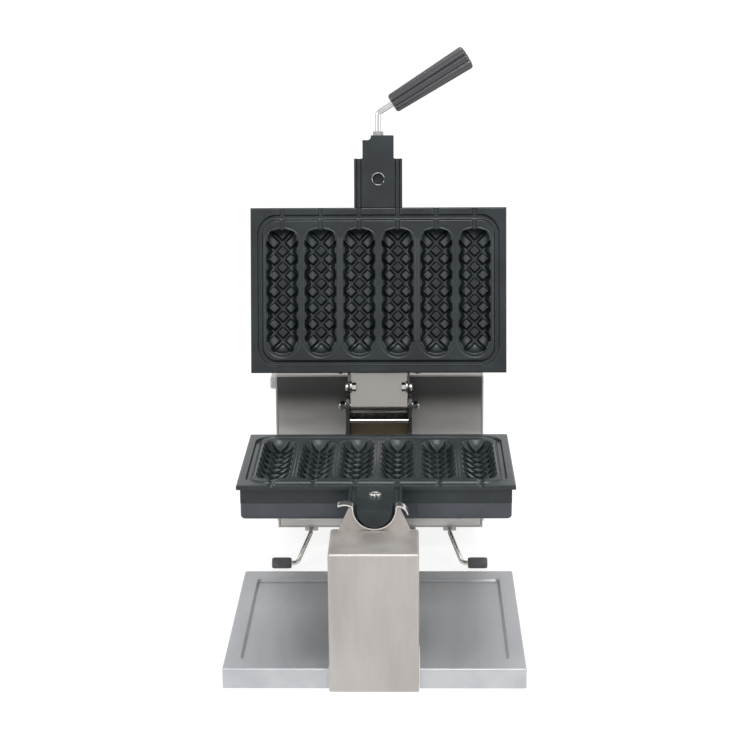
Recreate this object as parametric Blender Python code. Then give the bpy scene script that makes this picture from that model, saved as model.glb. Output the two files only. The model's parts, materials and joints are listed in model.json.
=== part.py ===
"""Corn dog waffle maker: two hinged baking irons that turn together between a front column and a control box.

Metres, +Z up, +X to the right and +Y to the back. The origin lies on the counter, under the middle of the
lower baking plate. The irons are modelled closed, and the empty on the lid's hinge opens them to rest.
"""

import math

import bmesh
import bpy
from mathutils import Matrix, Vector

# Fits shared by all pieces
seat_gap = 0.0003
overrun = 0.002
weld_distance = 0.000001
sheet = 0.0015
round_sides = 20
small_sides = 12
shaft_sides = 12
head_sides = 8
bend_steps = 3
heater_bend_steps = 2
flute_points = 3
rod_sides_resolution = 3

# Baking irons: one cast plate and one pressed heater cover for each half
plate_width = 0.305
plate_length = 0.197
rotor_height = 0.1707
rim_thickness = 0.005
body_inset = 0.004
body_depth = 0.0162
cast_draft = 0.0006
cover_height = 0.0192
cover_wall = 0.0018
cover_corner = 0.0045
cover_corner_steps = 2

# Waffle cavities: a trough with raised diamond pads, so that diagonal ribs bake between the pads
cavity_count = 6
cavity_wall = 0.00868
cavity_depth = 0.0145
cavity_side_margin = 0.0189
cavity_front_margin = 0.0245
cavity_rear_margin = 0.0220
cavity_end_reach = 0.0100
cavity_end_steps = 3
cavity_floor_angle = 58.0
cavity_levels = 2
pad_pitch = 0.0195
pad_rib_width = 0.0042
pad_rib_height = 0.0030
pad_edge_step = 0.0017
pad_draft = 0.0007
pad_edge_share = 0.8

# Overflow groove round the cavities, and the slots for the sticks
groove_margin = 0.0080
groove_width = 0.0062
groove_depth = 0.0026
groove_draft = 0.0010
groove_corner = 0.0240
groove_corner_steps = 5
stick_radius = 0.0031
stick_slot_reach = 0.0060

# Trunnion blocks: a half cylinder on each iron, which close into one round journal
journal_radius = 0.0186
journal_length = 0.0275
shoulder_radius = 0.0287
shoulder_length = 0.0583
trunnion_chamfer = 0.0010
end_step_width = 0.0100
end_step_depth = 0.0056
end_step_fillet = 0.0040
peg_radius = 0.0064
peg_height = 0.0032
peg_dome = 0.0012
peg_seat_depth = 0.0060
peg_setback = 0.0341
peg_hole_clearance = 0.0004
peg_hole_depth = 0.0050

# Heating elements under the covers
heater_radius = 0.0040
heater_side_margin = 0.0360
heater_end_margin = 0.0240
heater_bend = 0.0120
heater_terminal_spread = 0.0300
heater_loop_spread = 0.0420
heater_sides_resolution = 1

# Screws of the covers
cover_screw_head_radius = 0.0045
cover_screw_head_height = 0.0028
cover_screw_inset = 0.0200

# Hinge between the irons
opening_angle = 103.2
hinge_setback = 0.0398
hinge_rise = 0.0240
pin_radius = 0.0040
sleeve_wall = 0.0024
knuckle_wall = 0.0020
knuckle_turn = 250.0
knuckle_steps = 12
hinge_half_width = 0.0344
arm_thickness = 0.0042
arm_play = 0.0010
arm_head_radius = 0.0140
arm_depth_below_axis = 0.0210
yoke_web = 0.0040
yoke_web_clearance = 0.0032
yoke_foot_width = 0.0200
yoke_foot_thickness = 0.0030
yoke_top_drop = 0.0040
pin_nut_radius = 0.0058
pin_nut_height = 0.0052
pin_dome_height = 0.0034
pin_washer_radius = 0.0066
pin_washer_height = 0.0012
cross_rod_radius = 0.0028
cross_rod_rise = 0.0049
lug_thickness = 0.0022
lug_radius = 0.0068
lug_bolt_radius = 0.0025
lug_bolt_forward = 0.0227
lug_bolt_drop = 0.0150
lug_bolt_head_radius = 0.0046
lug_bolt_head_height = 0.0034
lug_nut_height = 0.0048
lug_nut_radius = 0.0050
hinge_bar_height = 0.0330
hinge_bar_thickness = 0.0026
hinge_bar_overhang = 0.0200
yoke_screw_radius = 0.0036
yoke_screw_head = 0.0030

# Rear shaft and its bearing in the control box
shaft_radius = 0.0120
shaft_flange_radius = 0.0195
shaft_flange_thickness = 0.0050
thrust_washer_radius = 0.0190
bush_wall = 0.0040
bearing_flange_radius = 0.0340
bearing_flange_thickness = 0.0045
bearing_wall = 0.0055
bearing_length = 0.0420
bearing_bolt_circle = 0.0270
bearing_bolt_head_radius = 0.0042
bearing_bolt_head_height = 0.0030
collar_radius = 0.0200
collar_length = 0.0090
shaft_end_reach = 0.0060

# Handle: nut, bent rod and fluted grip
handle_rise = 0.0095
handle_nut_radius = 0.0062
handle_nut_height = 0.0050
handle_rod_radius = 0.0036
handle_rod_seat = 0.0120
handle_straight = 0.0275
handle_bend_radius = 0.0060
handle_side_angle = 58.0
handle_neck = 0.0200
grip_length = 0.1056
grip_small_radius = 0.0118
grip_large_radius = 0.0148
grip_flutes = 11
grip_flute_depth = 0.0011
grip_end_round = 0.0030
grip_rod_seat = 0.0300

# Front column with its U-notched rear wall, and the cradle liner
column_width = 0.0926
column_front = 0.2579
column_depth = 0.0766
column_wall = 0.0018
column_bend = 0.0030
ear_base_half_width = 0.0380
ear_peak_half_width = 0.0268
ear_height = 0.0242
liner_radius = 0.0220
liner_thickness = 0.0015
liner_depth = 0.0140
liner_front_reach = 0.0032
liner_steps = 10
lip_radius = 0.0026
lip_steps = 4
left_lip_turn = 84.0
left_lip_reach = 0.0134
right_lip_turn = 141.0
right_lip_reach = 0.0115

# Drip tray
tray_width = 0.3140
tray_length = 0.2829
tray_front = 0.2495
tray_height = 0.0219
tray_sheet = 0.0012
tray_side_rim = 0.0150
tray_end_rim = 0.0240
tray_recess = 0.0024
tray_recess_slope = 0.0030
tray_recess_corner = 0.0060
tray_corner_round = 0.0060
tray_notch_clearance = 0.0008
tray_rail_clearance = 0.0010

# Base rail and pedestal, which tie the column to the control box
rail_height = 0.0150
rail_wall = 0.0020
rail_rear_inset = 0.0100
pedestal_width = 0.0700
pedestal_length = 0.0900
pedestal_inset = 0.0150

# Control box
box_width = 0.2540
box_depth = 0.1300
box_bottom = 0.0285
box_over_rotor = 0.0541
box_setback = 0.0294
box_reveal = 0.0010
box_hem = 0.0022
panel_return = 0.0120
vent_count = 5
vent_length = 0.0360
vent_height = 0.0030
vent_pitch = 0.0080
vent_drop = 0.0548
vent_offset = 0.0580
box_screw_radius = 0.0036
box_screw_head = 0.0022
box_screw_inset = 0.0065

# Controls and what stands behind them
knob_spread = 0.0970
knob_rise = 0.0347
dial_radius = 0.0250
dial_thickness = 0.0008
knob_skirt_radius = 0.0190
knob_radius = 0.0150
knob_skirt_height = 0.0035
knob_height = 0.0160
knob_flutes = 12
knob_flute_depth = 0.0009
knob_stem_radius = 0.0030
knob_stem_seat = 0.0060
knob_turn_gap = 0.0004
lamp_spread = 0.0480
lamp_radius = 0.0050
lamp_bezel_radius = 0.0070
lamp_bezel_height = 0.0018
lamp_dome = 0.0026
lamp_body_depth = 0.0200
timer_size = 0.0460
timer_depth = 0.0400
thermostat_size = 0.0400
thermostat_depth = 0.0300
terminal_length = 0.0600
terminal_width = 0.0200
terminal_height = 0.0160
terminal_poles = 5
terminal_groove = 0.0020
switch_setback = 0.0240
switch_drop = 0.0135
switch_length = 0.0210
switch_width = 0.0092
switch_well_depth = 0.0050
switch_wall = 0.0010
switch_bezel_height = 0.0012
switch_body_depth = 0.0180
rocker_rise = 0.0016
rocker_pivot_depth = 0.0024
rocker_tilt = 7.0
boot_wall = 0.0010
boot_height = 0.0074
boot_margin = 0.0004
gland_radius = 0.0100
gland_height = 0.0120
gland_nut_radius = 0.0130
gland_nut_height = 0.0060
gland_bore = 0.0042
gland_side = 0.0700
gland_rise = 0.0350

# Legs and feet
leg_rod_radius = 0.0029
leg_spread = 0.0865
leg_toe_spread = 0.1000
leg_toe_forward = 0.1010
leg_reach_back = 0.0700
leg_drop_start = 0.0120
leg_bend = 0.0070
leg_cap_radius = 0.0067
leg_cap_start = 0.1070
leg_cap_length = 0.0235
leg_cap_wall = 0.0030
leg_cap_waist_share = 0.90
leg_clip_width = 0.0160
leg_clip_length = 0.0120
leg_clip_wall = 0.0020
leg_clip_inset = 0.0120
foot_radius = 0.0140
foot_taper = 0.0020
foot_inset = 0.0260

# Places worked out from the sizes above
half_width = plate_width / 2
half_length = plate_length / 2
rotor_axis = Vector((0, 0, rotor_height))
hinge_axis = Vector((0, half_length + hinge_setback, rotor_height + hinge_rise))
parting = rotor_height - seat_gap / 2
body_floor = parting - rim_thickness - body_depth
cover_top = body_floor - seat_gap
cover_floor = cover_top - cover_height
cavity_span = plate_width - 2 * cavity_side_margin
cavity_width = (cavity_span - (cavity_count - 1) * cavity_wall) / cavity_count
cavity_pitch = cavity_width + cavity_wall
cavity_places = [(index - (cavity_count - 1) / 2) * cavity_pitch for index in range(cavity_count)]
cavity_low = -half_length + cavity_front_margin
cavity_high = half_length - cavity_rear_margin
cavity_middle = (cavity_low + cavity_high) / 2
cavity_half_length = (cavity_high - cavity_low) / 2
shoulder_front = -half_length - shoulder_length
journal_front = shoulder_front - journal_length
peg_place = -half_length - peg_setback
body_rear = half_length - body_inset
box_front = hinge_axis.y + box_setback
box_rear = box_front + box_depth
box_half = box_width / 2
box_top = rotor_height + box_over_rotor
ledge_height = rotor_height - seat_gap / 2 - journal_radius - seat_gap - liner_thickness - seat_gap
liner_centre = rotor_height - seat_gap / 2 - journal_radius - seat_gap + liner_radius
column_rear = -column_front + column_depth


def arc(centre, radius, start, end, steps):
    """Points on an arc in a plane, from one angle to another in degrees."""
    points = []
    for step in range(steps + 1):
        angle = math.radians(start + (end - start) * step / steps)
        points.append((centre[0] + radius * math.cos(angle), centre[1] + radius * math.sin(angle)))
    return points


def in_plane(point, plane, height):
    """Puts a 2D point of the named plane at a height along the plane's normal."""
    first, second = point
    if plane == "XY":
        return Vector((first, second, height))
    if plane == "XZ":
        return Vector((first, height, second))
    return Vector((height, first, second))


def add_box(bm, low, high):
    low, high = Vector(low), Vector(high)
    size = high - low
    made = bmesh.ops.create_cube(bm, size=1)
    shape = Matrix.Translation((low + high) / 2) @ Matrix.Diagonal((size.x, size.y, size.z, 1))
    bmesh.ops.transform(bm, matrix=shape, verts=made["verts"])
    return made["verts"]


def add_rod(bm, start, end, radius, sides=round_sides, end_radius=None):
    start, end = Vector(start), Vector(end)
    along = end - start
    made = bmesh.ops.create_cone(
        bm,
        cap_ends=True,
        segments=sides,
        radius1=radius,
        radius2=radius if end_radius is None else end_radius,
        depth=along.length,
    )
    turn = along.to_track_quat("Z", "Y").to_matrix().to_4x4()
    bmesh.ops.transform(bm, matrix=Matrix.Translation((start + end) / 2) @ turn, verts=made["verts"])
    return made["verts"]


def add_prism(bm, outline, plane, low, high):
    """Extrudes a closed outline of 2D points between two heights along its plane's normal."""
    loop = [bm.verts.new(in_plane(point, plane, low)) for point in outline]
    face = bm.faces.new(loop)
    grown = bmesh.ops.extrude_face_region(bm, geom=[face])["geom"]
    moved = [item for item in grown if isinstance(item, bmesh.types.BMVert)]
    shift = in_plane((0, 0), plane, high - low)
    bmesh.ops.translate(bm, vec=shift, verts=moved)
    return loop + moved


def add_loft(bm, rings, close=False):
    """Joins rings of points of equal count. It caps both ends, or joins the last ring to the first."""
    loops = [[bm.verts.new(point) for point in ring] for ring in rings]
    pairs = list(zip(loops, loops[1:]))
    if close:
        pairs.append((loops[-1], loops[0]))
    for below, above in pairs:
        for index in range(len(below)):
            after = (index + 1) % len(below)
            bm.faces.new((below[index], below[after], above[after], above[index]))
    if not close:
        bm.faces.new(reversed(loops[0]))
        bm.faces.new(loops[-1])
    return [vert for loop in loops for vert in loop]


def add_turned(bm, profile, base, direction, sides=round_sides):
    """Turns a closed profile of (radius, distance) points about an axis through base."""
    before = set(bm.verts)
    loop = [bm.verts.new((radius, 0, distance)) for radius, distance in profile]
    edges = []
    for index in range(len(profile)):
        if profile[index - 1][0] or profile[index][0]:
            edges.append(bm.edges.new((loop[index - 1], loop[index])))
    bmesh.ops.spin(
        bm,
        geom=loop + edges,
        cent=(0, 0, 0),
        axis=(0, 0, 1),
        angle=math.tau,
        steps=sides,
        use_merge=True,
    )
    made = [vert for vert in bm.verts if vert not in before]
    bmesh.ops.remove_doubles(bm, verts=made, dist=weld_distance)
    made = [vert for vert in bm.verts if vert not in before]
    turn = Vector(direction).to_track_quat("Z", "Y").to_matrix().to_4x4()
    bmesh.ops.transform(bm, matrix=Matrix.Translation(Vector(base)) @ turn, verts=made)
    return made


def rounded_rectangle(half_x, half_y, radius, steps):
    """Outline points of a rectangle with rounded corners, anticlockwise from its lower right corner."""
    points = []
    corners = [(1, -1, -90), (1, 1, 0), (-1, 1, 90), (-1, -1, 180)]
    for side_x, side_y, start in corners:
        centre = (side_x * (half_x - radius), side_y * (half_y - radius))
        points += arc(centre, radius, start, start + 90, steps)
    return points


def bent_path(corners, radius, steps=bend_steps):
    """A path through corner points with each inner corner rounded to the bend radius."""
    path = [Vector(corners[0])]
    for before, corner, after in zip(corners, corners[1:], corners[2:]):
        before, corner, after = Vector(before), Vector(corner), Vector(after)
        towards, onwards = (before - corner).normalized(), (after - corner).normalized()
        half_angle = towards.angle(onwards) / 2
        centre = corner + (towards + onwards).normalized() * (radius / math.sin(half_angle))
        first = corner + towards * (radius / math.tan(half_angle)) - centre
        last = corner + onwards * (radius / math.tan(half_angle)) - centre
        turn_axis, turn_angle = first.cross(last), first.angle(last)
        for step in range(steps + 1):
            path.append(centre + Matrix.Rotation(turn_angle * step / steps, 3, turn_axis) @ first)
    path.append(Vector(corners[-1]))
    return path


def mirror_up(bm):
    """Turns a lower half into an upper half, about the level of the rotor's axis."""
    about = Matrix.Translation(-rotor_axis)
    bmesh.ops.scale(bm, vec=(1, 1, -1), space=about, verts=bm.verts)


def carrier(name, place, parent=None, turn=(0, 0, 0)):
    """An empty on a joint's axis, which carries the pieces that move with that joint."""
    empty = bpy.data.objects.new(name, None)
    bpy.context.scene.collection.objects.link(empty)
    empty.location = place if parent is None else place - parent_place[parent.name]
    empty.rotation_euler = turn
    empty.parent = parent
    parent_place[name] = place
    return empty


def material(name, finish):
    """A Principled material of one finish: its colour, metallic value and roughness."""
    colour, metallic, roughness = finish
    made = bpy.data.materials.new(name)
    made.use_nodes = True
    shader = made.node_tree.nodes["Principled BSDF"]
    shader.inputs["Base Color"].default_value = (*colour, 1)
    shader.inputs["Metallic"].default_value = metallic
    shader.inputs["Roughness"].default_value = roughness
    return made


def hang(piece, holder):
    """Parents a piece that is modelled in place to the empty that carries it."""
    if holder is not None:
        piece.parent = holder
        piece.location = -parent_place[holder.name]


def solid(name, bm, finish, holder=None, sharp_angle=35):
    bmesh.ops.recalc_face_normals(bm, faces=bm.faces)
    mesh = bpy.data.meshes.new(name)
    bm.to_mesh(mesh)
    bm.free()
    mesh.shade_smooth()
    mesh.set_sharp_from_angle(angle=math.radians(sharp_angle))
    piece = bpy.data.objects.new(name, mesh)
    piece.data.materials.append(material(name, finish))
    bpy.context.scene.collection.objects.link(piece)
    hang(piece, holder)
    return piece


def tube(name, path, radius, finish, holder=None, resolution=rod_sides_resolution):
    """A round rod or tube along a path, with closed ends."""
    curve = bpy.data.curves.new(name, "CURVE")
    curve.dimensions = "3D"
    curve.bevel_depth = radius
    curve.bevel_resolution = resolution
    curve.use_fill_caps = True
    spline = curve.splines.new("POLY")
    spline.points.add(len(path) - 1)
    for point, place in zip(spline.points, path):
        point.co = (*place, 1)
    piece = bpy.data.objects.new(name, curve)
    curve.materials.append(material(name, finish))
    bpy.context.scene.collection.objects.link(piece)
    hang(piece, holder)
    return piece


def tool(name, bm, holder=None):
    """A cutter: it shapes other pieces and isn't one itself."""
    bmesh.ops.recalc_face_normals(bm, faces=bm.faces)
    mesh = bpy.data.meshes.new(name)
    bm.to_mesh(mesh)
    bm.free()
    piece = bpy.data.objects.new(name, mesh)
    bpy.context.scene.collection.objects.link(piece)
    piece.hide_render = True
    piece.display_type = "WIRE"
    hang(piece, holder)
    return piece


def combine(piece, other, operation="DIFFERENCE"):
    modifier = piece.modifiers.new(other.name, "BOOLEAN")
    modifier.operation = operation
    modifier.object = other


for leftover in list(bpy.data.objects):
    bpy.data.objects.remove(leftover)

parent_place = {}

# Finishes: colour, metallic value and roughness
cast_coating = ((0.045, 0.052, 0.055), 0.35, 0.45)
cover_coating = ((0.055, 0.060, 0.066), 0.30, 0.50)
stainless = ((0.60, 0.58, 0.56), 1.00, 0.38)
polished = ((0.72, 0.71, 0.69), 1.00, 0.12)
zinc = ((0.62, 0.62, 0.61), 1.00, 0.25)
dark_steel = ((0.20, 0.20, 0.20), 0.90, 0.40)
bronze = ((0.55, 0.40, 0.20), 1.00, 0.35)
phenolic = ((0.018, 0.018, 0.018), 0.00, 0.35)
rubber = ((0.050, 0.050, 0.052), 0.00, 0.70)
white_ceramic = ((0.78, 0.76, 0.70), 0.00, 0.45)
grey_plastic = ((0.30, 0.30, 0.31), 0.00, 0.50)
black_plastic = ((0.020, 0.020, 0.020), 0.00, 0.40)
clear_rubber = ((0.72, 0.74, 0.76), 0.00, 0.25)
lamp_red = ((0.60, 0.05, 0.03), 0.00, 0.15)
lamp_green = ((0.05, 0.45, 0.08), 0.00, 0.15)

rotor = carrier("rotor_axis", rotor_axis)
lid = carrier("lid_hinge", hinge_axis, rotor, (math.radians(-opening_angle), 0, 0))


# Waffle cavities
def trough_level(half_x, half_y, height):
    """One level of a trough that runs along Y, with half an ellipse at each end."""
    reach = cavity_end_reach * half_x / (cavity_width / 2)
    points = []
    for start, side in ((0, 1), (180, -1)):
        end_middle = cavity_middle + side * (half_y - reach)
        for across, along in arc((0, 0), half_x, start, start + 180, cavity_end_steps):
            points.append(Vector((across, end_middle + along * reach / half_x, height)))
    return points


def trough_rings(half_x, half_y, depth, top):
    """Levels of a trough with an elliptic section, from its upright wall down to a narrow flat floor."""
    rings = [trough_level(half_x, half_y, top)]
    for level in range(cavity_levels):
        angle = math.radians(cavity_floor_angle * level / (cavity_levels - 1))
        narrow = half_x * (1 - math.cos(angle))
        fall = math.sin(angle) / math.sin(math.radians(cavity_floor_angle))
        rings.append(trough_level(half_x - narrow, half_y - narrow, parting - depth * fall))
    return rings


def pad_centres():
    """Places of the diamond pads in one cavity: a square lattice turned by 45 degrees."""
    half_pitch = pad_pitch / 2
    half_cavity = cavity_width / 2
    columns = math.ceil(cavity_width / pad_pitch)
    rows = math.ceil(cavity_half_length / half_pitch)
    for column in range(-columns, columns + 1):
        for row in range(-rows, rows + 1):
            x, y = column * half_pitch, row * half_pitch
            beyond = max(abs(y) - cavity_half_length + cavity_end_reach, 0) * half_cavity / cavity_end_reach
            if (column + row) % 2 and math.hypot(x, beyond) < half_cavity + half_pitch * pad_edge_share:
                yield x, y


def add_pad(bm, x, y, low, high):
    """One diamond pad, with sides that draw in towards its top."""
    half_side = pad_pitch / 2 - pad_rib_width / math.sqrt(2)
    rings = []
    for level, half in ((low, half_side + pad_draft), (high, half_side - pad_draft)):
        corners = ((x + half, y), (x, y + half), (x - half, y), (x, y - half))
        rings.append([Vector((across, along + cavity_middle, level)) for across, along in corners])
    add_loft(bm, rings)


def cavity_tool(name, upper, holder):
    """The cavities of one plate as a cutter: troughs at the depth of the ribs, less the pads."""
    ribs, pads, crown = bmesh.new(), bmesh.new(), bmesh.new()
    outer = (cavity_width / 2, cavity_half_length, cavity_depth)
    inner = [size - pad_edge_step for size in outer[:2]] + [cavity_depth - pad_rib_height]
    for place in cavity_places:
        along = Matrix.Translation((place, 0, 0))
        for bm, sizes, top in ((ribs, outer, parting + overrun), (crown, inner, parting + 2 * overrun)):
            made = add_loft(bm, trough_rings(*sizes, top))
            bmesh.ops.transform(bm, matrix=along, verts=made)
        for x, y in pad_centres():
            low, high = parting - cavity_depth - overrun, parting + 1.5 * overrun
            add_pad(pads, x + place, y, low, high)
    if upper:
        for bm in (ribs, pads, crown):
            mirror_up(bm)
    pad_tool = tool(name + "_pads", pads, holder)
    combine(pad_tool, tool(name + "_crown", crown, holder))
    ribs_tool = tool(name, ribs, holder)
    combine(ribs_tool, pad_tool)
    return ribs_tool


def groove_and_slot_tools(name, upper, holder):
    """Cutters for the overflow groove and for the stick slots of one plate."""
    groove, slots = bmesh.new(), bmesh.new()
    rings = []
    levels = (
        (0, parting + overrun),
        (0, parting),
        (groove_draft, parting - groove_depth),
        (groove_width - groove_draft, parting - groove_depth),
        (groove_width, parting),
        (groove_width, parting + overrun),
    )
    for inset, level in levels:
        edge = groove_margin + inset
        outline = rounded_rectangle(
            half_width - edge, half_length - edge, groove_corner - inset, groove_corner_steps
        )
        rings.append([Vector((x, y, level)) for x, y in outline])
    add_loft(groove, rings, close=True)
    for place in cavity_places:
        start = (place, -half_length - overrun, parting)
        add_rod(slots, start, (place, cavity_low + stick_slot_reach, parting), stick_radius, small_sides)
    if upper:
        mirror_up(groove)
        mirror_up(slots)
    return tool(name + "_groove", groove, holder), tool(name + "_slots", slots, holder)


def rectangle(half_x, half_y, height):
    corners = ((half_x, -half_y), (half_x, half_y), (-half_x, half_y), (-half_x, -half_y))
    return [Vector((x, y, height)) for x, y in corners]


def baking_plate(name, upper, holder):
    """A cast plate: a thin rim over a deeper body, with the cavities sunk in its face."""
    bm = bmesh.new()
    body_x, body_y = half_width - body_inset, half_length - body_inset
    under_rim = parting - rim_thickness
    rings = [
        rectangle(body_x - cast_draft, body_y - cast_draft, body_floor),
        rectangle(body_x, body_y, under_rim),
        rectangle(half_width, half_length, under_rim),
        rectangle(half_width, half_length, parting),
    ]
    add_loft(bm, rings)
    if upper:
        mirror_up(bm)
    plate = solid(name, bm, cast_coating, holder)
    combine(plate, cavity_tool(name + "_cavities", upper, holder))
    for cutter in groove_and_slot_tools(name, upper, holder):
        combine(plate, cutter)


# Trunnion blocks
def trunnion(name, upper, holder):
    """A half cylinder with a wider shoulder behind it, which hooks under the plate's rim."""
    bm = bmesh.new()
    rear = -half_length + body_inset - seat_gap
    profile = (
        (0, journal_front),
        (journal_radius - trunnion_chamfer, journal_front),
        (journal_radius, journal_front + trunnion_chamfer),
        (journal_radius, shoulder_front),
        (shoulder_radius - trunnion_chamfer, shoulder_front),
        (shoulder_radius, shoulder_front + trunnion_chamfer),
        (shoulder_radius, rear),
        (0, rear),
    )
    add_turned(bm, profile, (0, 0, parting), (0, 1, 0))
    bmesh.ops.bisect_plane(
        bm,
        geom=bm.verts[:] + bm.edges[:] + bm.faces[:],
        dist=weld_distance,
        plane_co=(0, 0, parting),
        plane_no=(0, 0, 1),
        clear_outer=True,
    )
    bmesh.ops.holes_fill(bm, edges=[edge for edge in bm.edges if edge.is_boundary])
    channels, rim = bmesh.new(), bmesh.new()
    for place in cavity_places:
        if abs(place) < shoulder_radius:
            start, end = (place, shoulder_front - overrun, parting), (place, rear + overrun, parting)
            add_rod(channels, start, end, stick_radius, small_sides)
    rim_low = parting - rim_thickness - seat_gap
    side = shoulder_radius + overrun
    add_box(rim, (-side, -half_length - seat_gap, rim_low), (side, rear + overrun, parting + overrun))
    hole = bmesh.new()
    radius, depth = peg_radius + seat_gap, peg_seat_depth
    if upper:
        radius, depth = peg_radius + peg_hole_clearance, peg_hole_depth
    add_rod(hole, (0, peg_place, parting - depth), (0, peg_place, parting + overrun), radius)
    parts = [bm, channels, rim, hole]
    if upper:
        step = bmesh.new()
        reach = journal_radius + overrun
        edge = journal_front + end_step_depth
        inner = -journal_radius + end_step_width
        outline = [(-reach, edge), (-reach, journal_front - overrun), (inner, journal_front - overrun)]
        corner = (inner - end_step_fillet, edge - end_step_fillet)
        outline += arc(corner, end_step_fillet, 0, 90, bend_steps)
        add_prism(step, outline, "XY", parting - reach, parting + overrun)
        parts.append(step)
        rod_seat = bmesh.new()
        level = rotor_height - handle_rise
        start = (0, journal_front - overrun, level)
        end = (0, journal_front + handle_rod_seat + seat_gap, level)
        add_rod(rod_seat, start, end, handle_rod_radius + seat_gap, small_sides)
        parts.append(rod_seat)
        for part in parts:
            mirror_up(part)
    block = solid(name, parts[0], cast_coating, holder)
    for index, part in enumerate(parts[1:]):
        combine(block, tool(name + "_cut_" + str(index), part, holder))
    return block


def locating_peg():
    """The raised peg on the lower block that drops into the upper block's hole."""
    bm = bmesh.new()
    low, high = -peg_seat_depth + seat_gap, peg_height
    profile = (
        (0, low),
        (peg_radius, low),
        (peg_radius, high - peg_dome),
        (peg_radius - peg_dome, high),
        (0, high),
    )
    add_turned(bm, profile, (0, peg_place, parting), (0, 0, 1))
    return solid("locating_peg", bm, zinc, rotor)


# Fastener heads and joining
def add_head(bm, base, direction, radius, height, sides=head_sides):
    """A low domed head, sunk by the overrun into the face that it stands on."""
    profile = (
        (0, -overrun / 2),
        (radius, -overrun / 2),
        (radius, height / 2),
        (radius / 2, height),
        (0, height),
    )
    add_turned(bm, profile, base, direction, sides)


def join(piece, bm, holder=None):
    """Fuses more shape onto a piece, such as the heads of its rivets or a welded tab."""
    combine(piece, tool(piece.name + "_joined_" + str(len(piece.modifiers)), bm, holder), "UNION")


def cut(piece, bm, holder=None):
    combine(piece, tool(piece.name + "_cut_" + str(len(piece.modifiers)), bm, holder))


def hex_nut(name, base, direction, radius, height, bore, finish, holder):
    bm, hole = bmesh.new(), bmesh.new()
    base, along = Vector(base), Vector(direction)
    add_rod(bm, base, base + along * height, radius, 6)
    add_rod(hole, base - along * overrun, base + along * (height + overrun), bore, small_sides)
    cut(solid(name, bm, finish, holder), hole, holder)


# Covers and heating elements
def heater_cover(name, upper, holder):
    """A pressed pan over the heating element, open towards the plate, with rounded lower corners."""
    bm = bmesh.new()
    side_x, side_y = half_width - body_inset, half_length - body_inset
    rings = []
    for across, up in arc((0, 0), cover_corner, -90, 0, cover_corner_steps):
        inset = cover_corner - across
        rings.append(rectangle(side_x - inset, side_y - inset, cover_floor + cover_corner + up))
    rings.append(rectangle(side_x, side_y, cover_top))
    rings.append(rectangle(side_x - cover_wall, side_y - cover_wall, cover_top))
    inner = cover_wall + cover_corner / 2
    rings.append(rectangle(side_x - cover_wall, side_y - cover_wall, cover_floor + inner))
    rings.append(rectangle(side_x - inner, side_y - inner, cover_floor + cover_wall))
    add_loft(bm, rings)
    heads = bmesh.new()
    x, y = side_x - cover_screw_inset, side_y - cover_screw_inset
    for place_x, place_y in ((-x, -y), (x, -y), (x, y), (-x, y)):
        place = (place_x, place_y, cover_floor)
        add_head(heads, place, (0, 0, -1), cover_screw_head_radius, cover_screw_head_height)
    if upper:
        mirror_up(bm)
        mirror_up(heads)
    cover = solid(name + "_cover", bm, cover_coating, holder)
    join(cover, heads, holder)


def heating_element(name, upper, holder):
    """A tubular element in long runs against the underside of the plate."""
    level = body_floor - seat_gap - heater_radius
    if upper:
        level = 2 * rotor_height - level
    front, rear = -half_length + heater_end_margin, half_length - heater_end_margin
    outer = half_width - heater_side_margin
    inner = heater_terminal_spread / 2
    middle = inner + heater_loop_spread
    loop_front = front + 2 * heater_bend
    right = [(inner, rear), (inner, loop_front), (middle, loop_front)]
    right += [(middle, rear), (outer, rear), (outer, front)]
    corners = [(-x, y, level) for x, y in right] + [(x, y, level) for x, y in reversed(right)]
    path = bent_path(corners, heater_bend, heater_bend_steps)
    tube(name + "_heater", path, heater_radius, dark_steel, holder, heater_sides_resolution)


for half, upper, holder in (("lower", False, rotor), ("upper", True, lid)):
    baking_plate(half + "_plate", upper, holder)
    trunnion(half + "_trunnion", upper, holder)
    heater_cover(half, upper, holder)
    heating_element(half, upper, holder)
locating_peg()

# Yoke: a folded bracket on the back of the lower iron, with two arms for the hinge pin
arm_inner = hinge_half_width + arm_play
arm_outer = arm_inner + arm_thickness
yoke_front = body_rear + seat_gap
yoke_low = rotor_height - arm_depth_below_axis
under_rim = parting - rim_thickness - seat_gap
sleeve_bore = pin_radius + seat_gap
sleeve_radius = sleeve_bore + sleeve_wall
knuckle_inner = sleeve_radius + seat_gap
knuckle_outer = knuckle_inner + knuckle_wall
web_front = hinge_axis.y + knuckle_outer + yoke_web_clearance
web_rear = web_front + yoke_web
cross_rod_place = Vector((0, hinge_axis.y, rotor_height + cross_rod_rise))


def yoke_side_outline():
    """The bracket from the side: under the rim in front, round heads about the pin, a plain web behind."""
    outline = [
        (yoke_front - overrun, yoke_low),
        (yoke_front - overrun, under_rim),
        (half_length + seat_gap, under_rim),
        (half_length + seat_gap, parting - seat_gap),
        (hinge_axis.y - arm_head_radius, parting - seat_gap),
    ]
    outline += arc((hinge_axis.y, hinge_axis.z), arm_head_radius, 180, 0, 8)
    outline += [(web_rear + overrun, hinge_axis.z - yoke_top_drop), (web_rear + overrun, yoke_low)]
    return outline


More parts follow.
